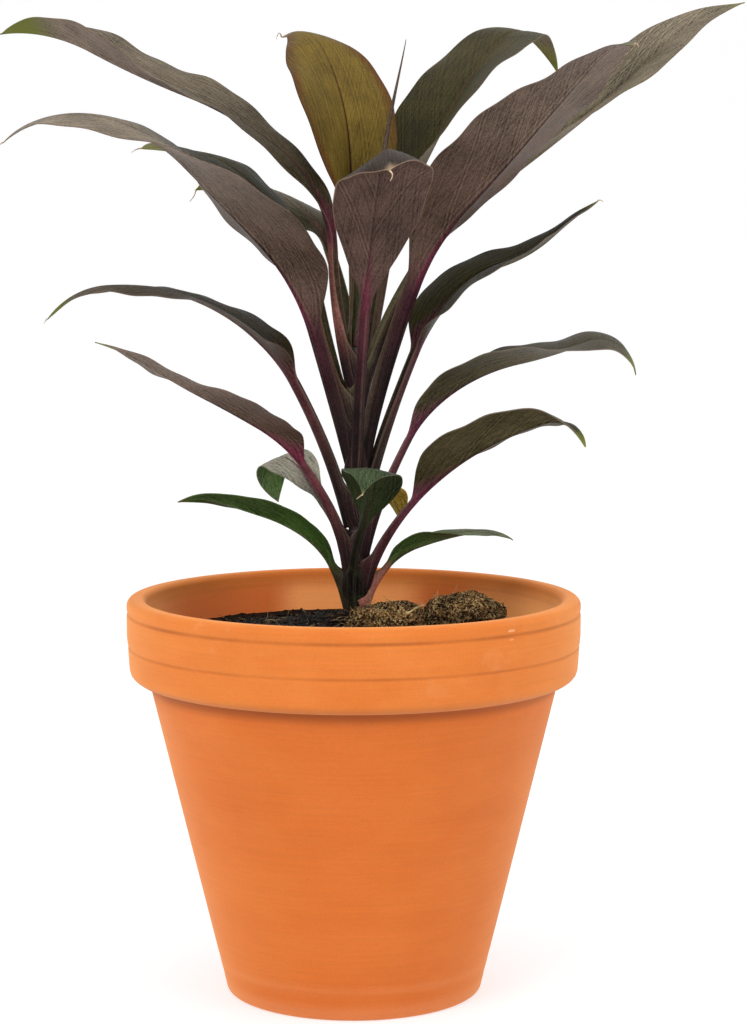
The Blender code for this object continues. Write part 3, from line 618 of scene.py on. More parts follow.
def clay_material(settings):
    """Unglazed fired clay: orange, matt, with mottling, chalky bloom, turned lines and dark specks, and with
    painted shade on the body below the collar, in the turned lines and in the crease, painted light on the
    inner wall, and painted floor light at the base.
    """
    material, graph, shader = new_material(
        "fired_clay", 0.8, Specular_IOR_Level=0.25, Diffuse_Roughness=1.0, Sheen_Weight=settings.dust,
        Sheen_Roughness=0.5, Sheen_Tint=(*settings.dust_tint, 1.0))
    place = graph.place()
    side, height = graph.coordinate("X"), graph.coordinate("Z")
    grain = add_grain(graph, 26.0, 1400.0, 1.6)
    broad = graph.span(graph.noise(graph.place((1.0, 1.0, 2.4)), 9.0, detail=3.0), 0.3, 0.7)
    colour = graph.mix(broad, settings.clay, settings.clay_deep)
    colour = graph.cover(colour, grain["Blotch"], 0.35, settings.clay_light)
    lines = graph.noise(graph.place((1.0, 1.0, 90.0)), 7.0, detail=4.0, roughness=0.7)
    colour = graph.cover(colour, graph.span(lines, 0.42, 0.75), 0.16, settings.clay_deep)
    bloom = graph.noise(graph.place((1.0, 1.0, 1.4)), 42.0, detail=5.0, roughness=0.65)
    bloom = graph.times(graph.span(bloom, 0.56, 0.74), graph.span(height, 0.120, 0.180, 0.25, 1.0))
    colour = graph.cover(colour, bloom, settings.bloom, settings.chalk_and_floor_light)
    speck = graph.span(graph.cells(place, 420.0), 0.0, 0.16, 1.0, 0.0)
    rare = graph.span(graph.noise(place, 130.0, detail=1.0), 0.60, 0.70)
    colour = graph.cover(colour, graph.times(speck, rare), 0.55, settings.speck)
    # Painted shade: the body below the collar is multiplied darker, standing in for the collar's shadow and
    # for the body facing away from the light overhead
    below = graph.span(height, POT_HEIGHT - 0.0400, POT_HEIGHT - 0.0375, 1.0, 0.0)
    colour = graph.mix(below, colour, graph.mix(1.0, colour, settings.body_shade_tint, blend="MULTIPLY"))
    outside = outside_mask(graph, height)
    patchy = graph.span(graph.noise(graph.place((1.0, 1.0, 0.2)), 34.0, detail=3.0), 0.3, 0.7, 0.45, 1.0)
    # Painted shade in the two turned lines on the collar, patchy along them
    for depth, reach, share in GROOVE_SHADE_LINES:
        shade = graph.times(graph.band(height, POT_HEIGHT - depth, reach, share), outside)
        colour = graph.cover(colour, shade, patchy, settings.line)
    flat = graph.place((1.0, 1.0, CHIP_SQUASH))
    chip = 0.0
    for (x, y, z), size in settings.chip_places():
        ends = {0: flat, 1: (x, y, CHIP_SQUASH * z)}
        gap = graph.node("ShaderNodeVectorMath", ends, operation="DISTANCE").outputs["Value"]
        ragged = graph.times_plus(graph.noise(place, 900.0), 0.0012, gap)
        chip = graph.larger(chip, graph.span(ragged, size, size + 0.0006, 1.0, 0.0))
    colour = graph.cover(colour, chip, 0.7, settings.chalk_and_floor_light)
    # The inner wall above the soil: a shaded copy of the clay, with painted light in the middle behind the
    # cane, at both sides and more to the right
    inside = graph.times(graph.minus(1.0, outside), graph.span(height, 0.140, 0.146))
    aside = graph.math("ABSOLUTE", graph.plus(side, 0.002))
    glow = graph.larger(graph.span(aside, 0.024, 0.042, 1.0, 0.0), graph.span(aside, 0.076, 0.100, 0.0, 0.8))
    glow = graph.larger(glow, graph.span(side, 0.048, 0.070))
    colour = graph.mix(inside, colour, graph.mix(glow, settings.inside_shaded_clay, settings.inside_lit_clay))
    # A faint pale line at the foot, and a paler band at the base that is painted light reflected from the
    # floor
    foot = graph.larger(graph.band(height, *FOOT_LINE), graph.span(height, 0.0100, 0.0030, 0.0, 0.16))
    colour = graph.cover(colour, foot, outside, settings.chalk_and_floor_light)
    # Painted shade along the crease under the collar
    depth, reach, share = CREASE_SHADE
    crease = graph.band(height, POT_HEIGHT - depth, reach, share)
    colour = graph.cover(colour, crease, outside, settings.line)
    streaks = graph.noise(graph.place((22.0, 22.0, 900.0)), 1.0, detail=3.0, roughness=0.65)
    tone = graph.times_plus(graph.minus(streaks, 0.5), 0.16, 1.0)
    tone = graph.times_plus(graph.minus(grain["Speck"], 0.5), 0.09, tone)
    graph.put(shader.inputs["Base Color"], graph.brighten(colour, tone))
    graph.put(shader.inputs["Roughness"], graph.span(grain["Speck"], 0.0, 1.0, 0.72, 0.9))
    relief = graph.plus(graph.times(grain["Height"], 0.6), graph.times(lines, 0.5))
    relief = graph.minus(relief, graph.times(graph.plus(speck, chip), 0.35))
    add_bump(graph, shader, relief, 0.00035, 0.55)
    return material


# The soil and the peat
def mound_height(radius):
    """Height of the soil before its roughness: a low mound that flattens at the wall."""
    share = np.minimum(radius / inner_radius(SOIL_EDGE_HEIGHT), 1.0)
    return SOIL_EDGE_HEIGHT + SOIL_MOUND_HEIGHT * 0.5 * (1.0 + np.cos(np.pi * share ** MOUND_FALL))


def soil_height(x, y, roughness):
    """The soil's top: the mound, clumps and crumbs from noise, and a calm seat under each clod."""
    place = np.stack([x, y, np.zeros_like(x)], -1)
    clumps = fractal_noise(place, 110.0, seed=5, octaves=3, gain=0.6)
    crumbs = np.abs(fractal_noise(place, 520.0, seed=9, octaves=3, gain=0.6))
    height = mound_height(np.hypot(x, y)) + roughness * (clumps + 1.2 * crumbs - 0.35)
    for clod in CLODS.values():
        turn = math.radians(clod["turn"])
        dx, dy = x - clod["centre"][0], y - clod["centre"][1]
        u, v = dx * math.cos(turn) + dy * math.sin(turn), dy * math.cos(turn) - dx * math.sin(turn)
        share = np.hypot(u / (clod["half"][0] + SEAT_MARGIN), v / (clod["half"][1] + SEAT_MARGIN))
        blend = np.clip((share - 1.0) / SEAT_BLEND, 0.0, 1.0)
        seat = mound_height(math.hypot(*clod["centre"])) - SEAT_DEPTH
        height = (seat + 0.4 * roughness * crumbs) * (1 - blend) + height * blend
    return height


def soil_mesh(settings):
    """Rings of points from the middle outwards, lifted to the soil's height, then down the wall."""
    top_radius = inner_radius(SOIL_EDGE_HEIGHT) - CLEARANCE
    base = FLOOR_THICKNESS + CLEARANCE
    low = base + FLOOR_ROUND
    rings = top_radius * np.linspace(0.004, 1.0, 150)
    profile = [(0.0, base), (FLOOR_RADIUS - FLOOR_ROUND - CLEARANCE, base)]
    profile += [(inner_radius(low) - CLEARANCE, low)]
    profile += [(radius, SOIL_EDGE_HEIGHT) for radius in rings[::-1]] + [(0.0, SOIL_EDGE_HEIGHT)]
    points, faces, poles = turned_surface(np.array(profile), 300)
    top = points[2:]
    lifted = soil_height(top[..., 0], top[..., 1], settings.roughness)
    fade = ease((top_radius - np.hypot(top[..., 0], top[..., 1])) / 0.002)
    top[..., 2] = SOIL_EDGE_HEIGHT + (lifted - SOIL_EDGE_HEIGHT) * fade
    poles[1, 2] = soil_height(np.zeros(1), np.zeros(1), settings.roughness)[0]
    return np.concatenate([points.reshape(-1, 3), poles]), faces


def soil_material(settings):
    """Damp potting soil: near black, with wet glints, brown fibres and reddish and greenish bits.

    Towards the right it is covered with dry peat, in patches with a ragged border.
    """
    material, graph, shader = new_material("wet_soil", 0.6, Specular_IOR_Level=0.08)
    place = graph.place()
    grain = add_grain(graph, 260.0, 2600.0)
    fibres = graph.noise(graph.place((60.0, 420.0, 900.0)), 1.0, detail=3.0, roughness=0.65, distortion=0.6)
    bits = graph.noise(place, 520.0, detail=2.0)
    streaks = graph.noise(graph.place((70.0, 300.0, 300.0)), 1.0, detail=4.0, roughness=0.7)
    colour = graph.mix(grain["Blotch"], settings.wet, settings.damp)
    colour = graph.cover(colour, graph.span(fibres, 0.56, 0.68), 0.7, settings.fibre)
    colour = graph.cover(colour, graph.span(bits, 0.66, 0.72), 0.5, settings.red_bit)
    colour = graph.cover(colour, graph.span(bits, 0.34, 0.28), 0.4, settings.green_bit)
    colour = graph.cover(colour, graph.span(streaks, 0.60, 0.68), 0.35, settings.red_bit)
    colour = graph.cover(colour, graph.span(streaks, 0.40, 0.32), 0.30, settings.green_bit)
    wobble = graph.times(graph.minus(graph.noise(place, 32.0, detail=3.0), 0.5), 0.07)
    right = graph.span(graph.plus(graph.coordinate("X"), wobble), 0.0, 0.032)
    patches = graph.noise(place, 210.0, detail=4.0, roughness=0.65)
    dry = graph.span(graph.times_plus(right, 0.27, patches), 0.66, 0.78)
    peat = graph.mix(grain["Speck"], settings.peat_dark, settings.peat)
    graph.put(shader.inputs["Base Color"], graph.cover(colour, dry, 0.8, peat))
    wetness = graph.span(graph.plus(grain["Speck"], dry), 0.2, 1.0, 0.45, 0.95)
    graph.put(shader.inputs["Roughness"], wetness)
    add_bump(graph, shader, graph.times_plus(fibres, 0.7, grain["Height"]), 0.0009, 0.9)
    return material


def peat_material(settings):
    """Dry peat and moss: khaki crumbs with painted highlights on their tops and painted shade in the pits
    between, and pale fibres.

    It is darker in broad patches, and painted shade darkens its foot and the cleft between the two clods.
    """
    material, graph, shader = new_material("dry_peat_moss", 0.95, Specular_IOR_Level=0.1)
    place = graph.place()
    grain = add_grain(graph, 170.0, 1900.0)
    crumbs = graph.noise(place, 330.0, detail=6.0, roughness=0.72, distortion=0.7)
    flecks = graph.noise(graph.place((1.0, 1.4, 1.0)), 820.0, detail=4.0, roughness=0.7)
    pits = graph.span(graph.plus(crumbs, flecks), 0.98, 0.86, 0.0, 0.95)
    # Painted shade in the cleft between the two clods
    cleft = graph.band(graph.coordinate("X"), CLEFT_SHADE_SIDE, 0.0040, 0.8)
    colour = graph.mix(graph.span(crumbs, 0.44, 0.56), settings.peat_dark, settings.peat)
    colour = graph.cover(colour, grain["Blotch"], 0.35, settings.red_bit)
    # Painted highlights on the crumb tops, then painted shade in the pits between crumbs
    colour = graph.mix(graph.span(flecks, 0.51, 0.60, 0.0, 0.95), colour, settings.peat_lit_tops)
    colour = graph.mix(pits, colour, settings.peat_pit_shade)
    colour = graph.mix(cleft, colour, settings.peat_pit_shade)
    broad = graph.span(graph.noise(place, 95.0, detail=3.0, distortion=0.6), 0.44, 0.56, 0.62, 0.0)
    # Painted shade: darker towards the clod's foot on the soil
    foot = graph.span(graph.coordinate("Z"), 0.1725, 0.1800, 0.65, 0.0)
    colour = graph.mix(graph.larger(broad, foot), colour, settings.peat_dark)
    threads = graph.noise(graph.place((300.0, 1300.0, 500.0)), 1.0, detail=2.0, distortion=1.2)
    colour = graph.cover(colour, graph.span(threads, 0.62, 0.70), 0.6, settings.straw)
    graph.put(shader.inputs["Base Color"], colour)
    relief = graph.plus(grain["Height"], graph.times_plus(flecks, 0.5, crumbs))
    add_bump(graph, shader, relief, 0.0011, 1.0)
    return material


def plain_fibre_material(name, colour, dark, roughness):
    """Dry fibre: one colour that darkens in uneven bands along it."""
    material, graph, shader = new_material(name, roughness, Specular_IOR_Level=0.3)
    bands = graph.noise(graph.place(), 340.0, detail=3.0)
    graph.put(shader.inputs["Base Color"], graph.mix(graph.span(bands, 0.35, 0.65), colour, dark))
    fine = graph.noise(graph.place(), 2400.0, detail=2.0)
    graph.put(shader.inputs["Roughness"], graph.span(fine, 0.3, 0.7, roughness - 0.1, roughness + 0.08))
    add_bump(graph, shader, fine, 0.0002, 0.5)
    return material


def fine_copy(node, cuts):
    """Points and faces of a CAD node, merged and cut finer: a start for its detailed piece."""
    form = bmesh.new()
    form.from_mesh(bpy.data.objects[node].data)
    bmesh.ops.remove_doubles(form, verts=form.verts, dist=1e-6)
    for _ in range(cuts):
        bmesh.ops.subdivide_edges(form, edges=form.edges[:], cuts=1, use_grid_fill=True)
    bmesh.ops.triangulate(form, faces=form.faces)
    bmesh.ops.recalc_face_normals(form, faces=form.faces)
    mesh = bpy.data.meshes.new(node + "_fine")
    form.to_mesh(mesh)
    form.free()
    points = np.empty(len(mesh.vertices) * 3, dtype=np.float32)
    mesh.vertices.foreach_get("co", points)
    normals = np.empty(len(mesh.vertices) * 3, dtype=np.float32)
    mesh.vertices.foreach_get("normal", normals)
    corners = np.empty(len(mesh.polygons) * 3, dtype=np.int32)
    mesh.polygons.foreach_get("vertices", corners)
    bpy.data.meshes.remove(mesh)
    return points.reshape(-1, 3).astype(float), normals.reshape(-1, 3).astype(float), corners.reshape(-1, 3)


def clod_mesh(node, settings):
    """The clod's form with crumbs: the surface moves along its normal by two scales of rough noise.

    Lumps come from the noise itself, and crumbs from how far the fine noise is from zero, which
    gives round grains with narrow pits between them. The flat foot stays where it is.
    """
    points, normals, corners = fine_copy(node, 3)
    foot = points[:, 2].min()
    lumps = fractal_noise(points, 160.0, seed=21, octaves=2)
    grains = 1.0 - 2.2 * np.abs(fractal_noise(points, 620.0, seed=33, octaves=2, gain=0.45))
    fade = ease((points[:, 2] - foot) / 0.0025)
    points = points + normals * ((settings.lump * lumps + settings.crumb * grains) * fade)[:, None]
    return points, normals, corners.tolist()


def crumb_mesh(places, sizes, seed):
    """Many small uneven lumps: a twenty-sided ball each, its corners pushed in and out at random."""
    form = bmesh.new()
    bmesh.ops.create_icosphere(form, subdivisions=1, radius=1.0)
    ball = np.array([v.co[:] for v in form.verts])
    faces = np.array([[v.index for v in f.verts] for f in form.faces])
    form.free()
    rng = np.random.default_rng(seed)
    shape = ball[None] * rng.uniform(0.6, 1.3, (len(places), len(ball), 1))
    shape = shape * rng.uniform(0.55, 1.25, (len(places), 1, 3)) * sizes[:, None, None]
    turn = rng.uniform(0, 2 * np.pi, len(places))
    c, s = np.cos(turn)[:, None], np.sin(turn)[:, None]
    x, y, z = np.moveaxis(shape, -1, 0)
    shape = np.stack([x * c - y * s, x * s + y * c, z], -1)
    points = (places[:, None] + shape).reshape(-1, 3)
    shift = (np.arange(len(places)) * len(ball))[:, None, None]
    return points, (faces[None] + shift).reshape(-1, 3).tolist()


def scatter_on_soil(count, settings, seed, low=(-0.088, -0.088), high=(0.088, 0.088)):
    """Random places on the soil's top, inside the wall and away from the cane, and their sizes."""
    rng = np.random.default_rng(seed)
    spots = rng.uniform(low, high, (count * 2, 2))
    far = np.hypot(spots[:, 0], spots[:, 1])
    spots = spots[(far < inner_radius(SOIL_EDGE_HEIGHT) - 0.003) & (far > 0.007)][:count]
    sizes = 0.0004 + 0.0011 * rng.random(len(spots)) ** 3
    heights = soil_height(spots[:, 0], spots[:, 1], settings.roughness)
    return np.column_stack([spots, heights]), sizes


def wandering_paths(starts, directions, lengths, curl, steps, seed):
    """Paths that start out along a direction and turn a little more with every step."""
    rng = np.random.default_rng(seed)
    turn = rng.normal(size=(len(starts), steps, 3)) * curl
    heading = directions[:, None] + np.cumsum(turn, axis=1)
    heading /= np.linalg.norm(heading, axis=-1, keepdims=True)
    moves = heading * (lengths / (steps - 1))[:, None, None]
    moves[:, 0] = 0.0
    return starts[:, None] + np.cumsum(moves, axis=1)


def taper(count, steps, radius, tip=0.35):
    """Radii of many bars that thin towards both ends."""
    share = np.linspace(0.0, 1.0, steps)
    return radius * np.ones((count, 1)) * (tip + (1 - tip) * np.sin(np.pi * share) ** 0.5)[None]


# The leaves
def cane_radius(height):
    """Radius of the cane, which thins towards its top."""
    heights, radii = zip(*CANE_TAPER)
    return float(np.interp(height, heights, radii))


def leaf_stations(stalk, blade, settings):
    """Distances along the leaf: close together at the sheath, even along the blade, closer at the tip."""
    start = settings.sheath_reach
    sheath = np.linspace(0.0, start, SHEATH_STEPS)
    plain = np.linspace(start, stalk, max(3, round((stalk - start) / STALK_STEP)) + 1)[1:]
    share = np.linspace(0.0, 1.0, max(40, round(blade / BLADE_STEP)) + 1)[1:]
    return np.concatenate([sheath, plain, stalk + blade * (share + 0.06 * np.sin(np.pi * share) / np.pi)])


def leaf_frame(leaf, stations):
    """Midrib points with their cross and normal directions, in the leaf's own frame.

    The lean from upright changes evenly between its stated values. The midrib is the running
    sum of the tangent. The heading turns smoothly along the stalk and then sways with the square
    of the way along the blade. Cross and normal are turned about the midrib by the roll.
    """
    stalk, blade = leaf["stalk"][0] * MM, leaf["blade"][0] * MM
    fine = np.linspace(0.0, stalk + blade, FINE_STEPS + 1)
    knots = [0.0, stalk, *(stalk + blade * share for share in (0.25, 0.5, 0.75, 1.0))]
    lean = np.radians(np.interp(fine, knots, leaf["lean"]))
    along = np.clip((fine - stalk) / blade, 0.0, 1.0)
    twist = (leaf["turn"] - leaf["root"][1] + 180) % 360 - 180
    heading = np.radians(twist * ease(fine / (TWIST_SHARE * stalk)) + leaf["sway"] * along ** 2)
    tangent = np.stack([np.sin(lean) * np.cos(heading), np.sin(lean) * np.sin(heading), np.cos(lean)], -1)
    midrib = np.zeros_like(tangent)
    midrib[1:] = np.cumsum((tangent[1:] + tangent[:-1]) / 2, axis=0) * (fine[1] - fine[0])
    cross = np.stack([-np.sin(heading), np.cos(heading), np.zeros_like(heading)], -1)
    normal = np.cross(tangent, cross)
    start_roll, end_roll = np.radians(leaf["roll"])
    roll = (start_roll * ease(fine / stalk) + (end_roll - start_roll) * along)[:, None]
    rolled_cross = cross * np.cos(roll) + normal * np.sin(roll)
    rolled_normal = normal * np.cos(roll) - cross * np.sin(roll)
    columns = (midrib, rolled_cross, rolled_normal)
    return [np.stack([np.interp(stations, fine, part[:, axis]) for axis in range(3)], -1)
            for part in columns]


def leaf_half_width(leaf, stations, along, settings):
    """Half width: the strip narrows up the stalk and ends on the blade, whose outline swells and ends."""
    widest = leaf["widest"]
    rising = np.sin(np.pi / 2 * np.clip(along / widest, 0, 1)) ** OUTLINE_SWELL
    falling = np.cos(np.pi / 2 * np.clip((along - widest) / (1 - widest), 0, 1))
    outline = leaf["blade"][1] * MM / 2 * np.where(along < widest, rising, falling)
    length, low, neck = leaf["stalk"]
    strip = (low + (neck - low) * ease(stations / (length * MM))) * MM * (1 - along)
    return np.maximum(np.hypot(strip, outline), settings.tip_half_width)


def leaf_faces(leaf, nest, seed, settings):
    """The upper and under face of a leaf as two grids of points, and what the colours follow.

    Each half of a section is an arc from one angle at the midrib to another at the edge. The
    sheath wraps the cane: its half is longer, and its arc runs from side to side round a circle
    that just holds the cane, until it narrows to the stalk's channel in a V. On the blade the
    section opens to the fold. Two sizes of waves lift the edges, low pleats run lengthwise, and
    the midrib is a narrow groove above and a rib below.
    """
    stalk, blade = leaf["stalk"][0] * MM, leaf["blade"][0] * MM
    stations = leaf_stations(stalk, blade, settings)
    midrib, cross, normal = leaf_frame(leaf, stations)
    along = np.clip((stations - stalk) / blade, 0.0, 1.0)
    free = ease(stations / SHEATH_LENGTH)
    hug_radius = cane_radius(leaf["root"][0] * MM) + SEAT_GAP
    half = leaf_half_width(leaf, stations, along, settings)
    half = half * free + np.minimum(half, SHEATH_REACH * hug_radius) * (1 - free)
    opened = ease(along / OPENING_SHARE)
    fold = np.interp(along, (0, 1), leaf["fold"])
    middle = (CHANNEL_ANGLES[0] * (1 - opened) + fold * opened) * free
    edge = (CHANNEL_ANGLES[1] * (1 - opened) + (fold - EDGE_FLARE) * opened) * free
    middle, edge = np.radians(middle), np.radians(edge) + half / hug_radius * (1 - free)
    wrapped = 1 - ease(stations / settings.sheath_reach)
    ring = hug_radius + np.maximum(midrib[:, 0], 0) / 2 + nest * ease(stations / 0.004)
    wrap = math.radians(settings.wrap_angle)
    half = half * (1 - wrapped) + wrap * ring * wrapped
    middle, edge = middle * (1 - wrapped), edge * (1 - wrapped) + wrap * wrapped
    middle, edge = middle[:, None], edge[:, None]
    bend = np.where(np.abs(edge - middle) < 0.001, 0.001, edge - middle)

    spread = np.linspace(-1.0, 1.0, settings.columns)
    across = (np.sign(spread) * np.abs(spread) ** 1.35)[None, :]
    side, reach = np.sign(across), np.abs(across)
    angle = middle + bend * reach
    sideways = side * (np.sin(angle) - np.sin(middle)) / bend * half[:, None]
    upwards = (np.cos(middle) - np.cos(angle)) / bend * half[:, None]
    height, count = leaf["wave"]
    phase = 2 * np.pi * (count * along[:, None] + WAVE_OFFSET * side)
    calm = np.sqrt(np.sin(np.pi * along))[:, None]
    upwards = upwards + height * MM * np.sin(phase) * across ** 2 * calm
    ripple = 2 * np.pi * (2.7 * count * along[:, None] + 0.37 * side + 0.1 * seed)
    upwards = upwards + 0.35 * height * MM * np.sin(ripple) * reach ** 4 * calm
    wide = np.clip(half / 0.020, 0.2, 1.0)[:, None] * opened[:, None]
    pleats = np.sin(2 * np.pi * (reach * settings.pleats + 0.6 * along[:, None] + 0.21 * seed))
    upwards = upwards + settings.pleat_height * pleats * wide * calm * (1 - across ** 4)
    reach_mm = reach * half[:, None]
    groove = np.exp(-(reach_mm / 0.0011) ** 2) * opened[:, None] * (1 - along[:, None] ** 3)
    upper = midrib[:, None] + cross[:, None] * sideways[..., None]
    upper = upper + normal[:, None] * (upwards - settings.groove_depth * groove)[..., None]

    rib_sizes = (STALK_THICKNESS, BLADE_RIB_THICKNESS, settings.edge_thickness)
    rib = np.interp(along, (0, RIB_THINS_BY, 1), rib_sizes)[:, None]
    keel = (1 - across ** 2) * (1 - opened[:, None]) + (1 - reach) ** 2 * opened[:, None]
    thin = wrapped[:, None]
    thick = settings.edge_thickness + (rib - settings.edge_thickness) * keel * (1 - 0.6 * thin * reach)
    bulge = 0.0004 * np.exp(-(reach_mm / 0.0013) ** 2) * opened[:, None] * (1 - along[:, None] ** 2)
    thick = thick + bulge - settings.groove_depth * groove * 0.5
    out_side, out_up = np.sin(angle) * side, np.where(side == 0, -1.0, -np.cos(angle))
    outwards = cross[:, None] * out_side[..., None] + normal[:, None] * out_up[..., None]
    under = upper + outwards * thick[..., None]
    ones = np.ones_like(across)
    marks = {
        "across_mm": side * reach_mm / MM,
        "edge_mm": (half[:, None] - reach_mm) / MM * np.ones_like(reach_mm),
        "along_mm": ((stations - stalk) / MM)[:, None] * ones,
        "along": ((stations - stalk) / blade)[:, None] * ones,
    }
    return upper, under, marks


def strip_mesh(upper, under, marks):
    """Join two like grids into one closed sheet, and give both the marks that colours follow."""
    rows, columns = upper.shape[:2]
    top = np.arange(rows * columns).reshape(rows, columns)
    low = top + rows * columns
    faces = [grid_quads(rows, columns), grid_quads(rows, columns, flip=True) + rows * columns]
    for border in (np.s_[:, 0], np.s_[::-1, -1], np.s_[0, ::-1], np.s_[-1]):
        first, second = top[border], low[border]
        faces.append(np.stack([first[:-1], second[:-1], second[1:], first[1:]], -1)[:, ::-1])
    points = np.concatenate([upper.reshape(-1, 3), under.reshape(-1, 3)])
    marks = {name: np.tile(values.ravel(), 2) for name, values in marks.items()}
    marks["under"] = np.repeat([0.0, 1.0], rows * columns)
    return points, np.concatenate(faces).tolist(), marks


def place_on_cane(leaf, points):
    """Turn a leaf's points to the side of the cane that its root is on, and move them there."""
    height, side = leaf["root"][0] * MM, math.radians(leaf["root"][1])
    reach = cane_radius(height) + SEAT_GAP
    c, s = math.cos(side), math.sin(side)
    x, y, z = points.T
    return np.column_stack([x * c - y * s + reach * c + CANE_OFFSET, x * s + y * c + reach * s, z + height])


def leaf_group():
    """Colour, roughness and height of a leaf, from its marks.

    The veins are stripes of along minus a few times across, so they leave the midrib at a
    narrow angle. The midrib, the pale edge line and the tip are masks of the distance from the
    midrib, from the edge and from the blade's start. Below the blade the stalk's colour takes
    over, with a blush where they meet.
    """
    if "leaf_surface" in bpy.data.node_groups:
        return bpy.data.node_groups["leaf_surface"]
    colours = [(name.title(), "colour", None) for name in (*COLOUR_NAMES, "salmon", "sheen")]
    numbers = [(name, "number", 0.0) for name in LEAF_NUMBERS]
    graph, given, out = new_group(
        "leaf_surface", colours + numbers,
        [("Color", "colour"), ("Roughness", "number"), ("Height", "number")])
    across, edge, along_mm, along, under = (
        graph.attribute(name) for name in ("across_mm", "edge_mm", "along_mm", "along", "under"))
    place = graph.node("ShaderNodeTexCoord").outputs["Object"]
    offset = graph.node("ShaderNodeCombineXYZ", {"X": given["Seed"], "Y": given["Seed"]}).outputs[0]
    place = graph.node("ShaderNodeVectorMath", {0: place, 1: offset}, operation="ADD").outputs[0]
    reach = graph.math("ABSOLUTE", across)
    blotch = graph.noise(place, 60.0, detail=5.0, roughness=0.6)
    cloud = graph.noise(place, 22.0, detail=3.0, roughness=0.5)
    drift = graph.times(graph.minus(blotch, 0.5), 4.0)
    vein_way = graph.plus(graph.times_plus(reach, -2.6, along_mm), drift)
    side_seed = graph.times_plus(graph.span(across, -0.1, 0.1), 37.0, given["Seed"])
    veins = graph.stripes(graph.plus(vein_way, side_seed), 0.42, detail=3.0)
    fine_veins = graph.stripes(graph.minus(vein_way, side_seed), 1.9, detail=3.0)
    length_way = graph.plus(across, graph.times(given["Seed"], 3.1))
    length_lines = graph.stripes(length_way, 1.1, detail=2.0)
    grain = graph.noise(place, 900.0, detail=3.0, roughness=0.65)
    on_blade = graph.span(along, -0.02, 0.06)

    face = graph.mix(under, given["Upper"], given["Under"])
    face = graph.cover(face, graph.span(cloud, 0.42, 0.72), 0.30, given["Upper"])
    # Painted sheen: a pale colour painted in streaks on the blade's outer part, which stands in for light
    # falling on it and leaves the base darker
    sheen = graph.span(length_lines, 0.3, 0.7, 0.75, 1.0)
    sheen = graph.times(graph.span(along, 0.12, 0.75, 0.12, 1.0), sheen)
    sheen = graph.times(sheen, graph.span(cloud, 0.35, 0.6, 0.8, 1.0))
    face = graph.cover(face, sheen, given["Sheen Share"], given["Sheen"])
    tint = graph.times(graph.span(edge, 0.0, 7.0, 1.0, 0.0), given["Edge Tint"])
    face = graph.cover(face, tint, graph.span(blotch, 0.3, 0.6, 0.4, 1.0), given["Blush"])
    middle = graph.span(reach, 1.0, 9.0, 0.0, 0.8)
    neck = graph.minus(graph.span(along_mm, 0.0, 34.0, 1.0, 0.0), middle, clamp=True)
    face = graph.cover(face, neck, given["Blush Share"], given["Blush"])
    rib_width = graph.span(along, 0.0, 0.5, 1.2, 0.5)
    rib_mask = graph.minus(1.0, graph.math("DIVIDE", reach, rib_width), clamp=True)
    rib_mask = graph.times(graph.span(rib_mask, 0.0, 0.55), graph.span(along, 0.9, 0.45, 0.1, 1.0))
    rib = graph.mix(graph.span(along_mm, 6.0, 50.0, 0.9, 0.0), given["Rib"], given["Blush"])
    face = graph.cover(face, rib_mask, 0.85, rib)

    low = graph.span(along_mm, -46.0, 0.0)
    stalk = graph.cover(given["Stalk"], low, given["Blush Share"], given["Blush"])
    stalk = graph.cover(stalk, graph.span(along_mm, -52.0, -20.0), given["Salmon Share"], given["Salmon"])
    inner = graph.times(graph.minus(1.0, under), graph.span(along_mm, -95.0, -40.0, 0.35, 1.0))
    flank = graph.times(graph.span(edge, 1.4, 3.2, 1.0, 0.0), given["Flank Share"])
    stalk = graph.mix(graph.larger(inner, flank), stalk, given["Channel"])
    stalk_lines = graph.stripes(across, 1.9, detail=3.0)
    stalk = graph.mix(graph.span(stalk_lines, 0.5, 0.72, 0.0, 0.30), stalk, given["Margin"])
    mottle = graph.span(graph.noise(place, 160.0, detail=4.0), 0.5, 0.72, 0.0, 0.35)
    stalk = graph.mix(mottle, stalk, given["Rib"])
    colour = graph.mix(on_blade, stalk, face)

    vein_mask = graph.plus(graph.times(veins, 0.5), graph.times(fine_veins, 0.5))
    vein_share = graph.times(graph.span(vein_mask, 0.38, 0.62, -1.0, 1.0), given["Vein Contrast"])
    light = graph.times_plus(graph.span(blotch, 0.3, 0.7, -1.0, 1.0), 0.22, 1.0)
    light = graph.times_plus(vein_share, on_blade, light)
    light = graph.times_plus(graph.span(length_lines, 0.35, 0.65, -1.0, 1.0), 0.18, light)
    light = graph.times_plus(graph.span(grain, 0.3, 0.7, -1.0, 1.0), given["Grain Share"], light)
    colour = graph.brighten(colour, light)
    edge_width = graph.span(along, -0.05, 0.12, 0.8, 0.3)
    edge_mask = graph.span(graph.math("DIVIDE", edge, edge_width), 0.5, 1.0, 1.0, 0.0)
    edge_mask = graph.times(edge_mask, graph.span(along, 0.25, 0.7, 0.5, 1.0))
    colour = graph.cover(colour, edge_mask, 0.6, given["Margin"])
    tip_way = graph.times_plus(graph.minus(blotch, 0.5), 0.05, along)
    tip_mask = graph.span(graph.minus(tip_way, given["Tip Start"]), -0.08, 0.03)
    graph.put(out["Color"], graph.mix(tip_mask, colour, given["Tip"]))
    rough = graph.times_plus(graph.minus(blotch, 0.5), 0.35, 0.44)
    graph.put(out["Roughness"], graph.times_plus(graph.minus(vein_mask, 0.5), -0.4, rough))
    height = graph.times_plus(grain, 0.35, vein_mask)
    graph.put(out["Height"], graph.times_plus(length_lines, 0.6, height))
    return graph.tree


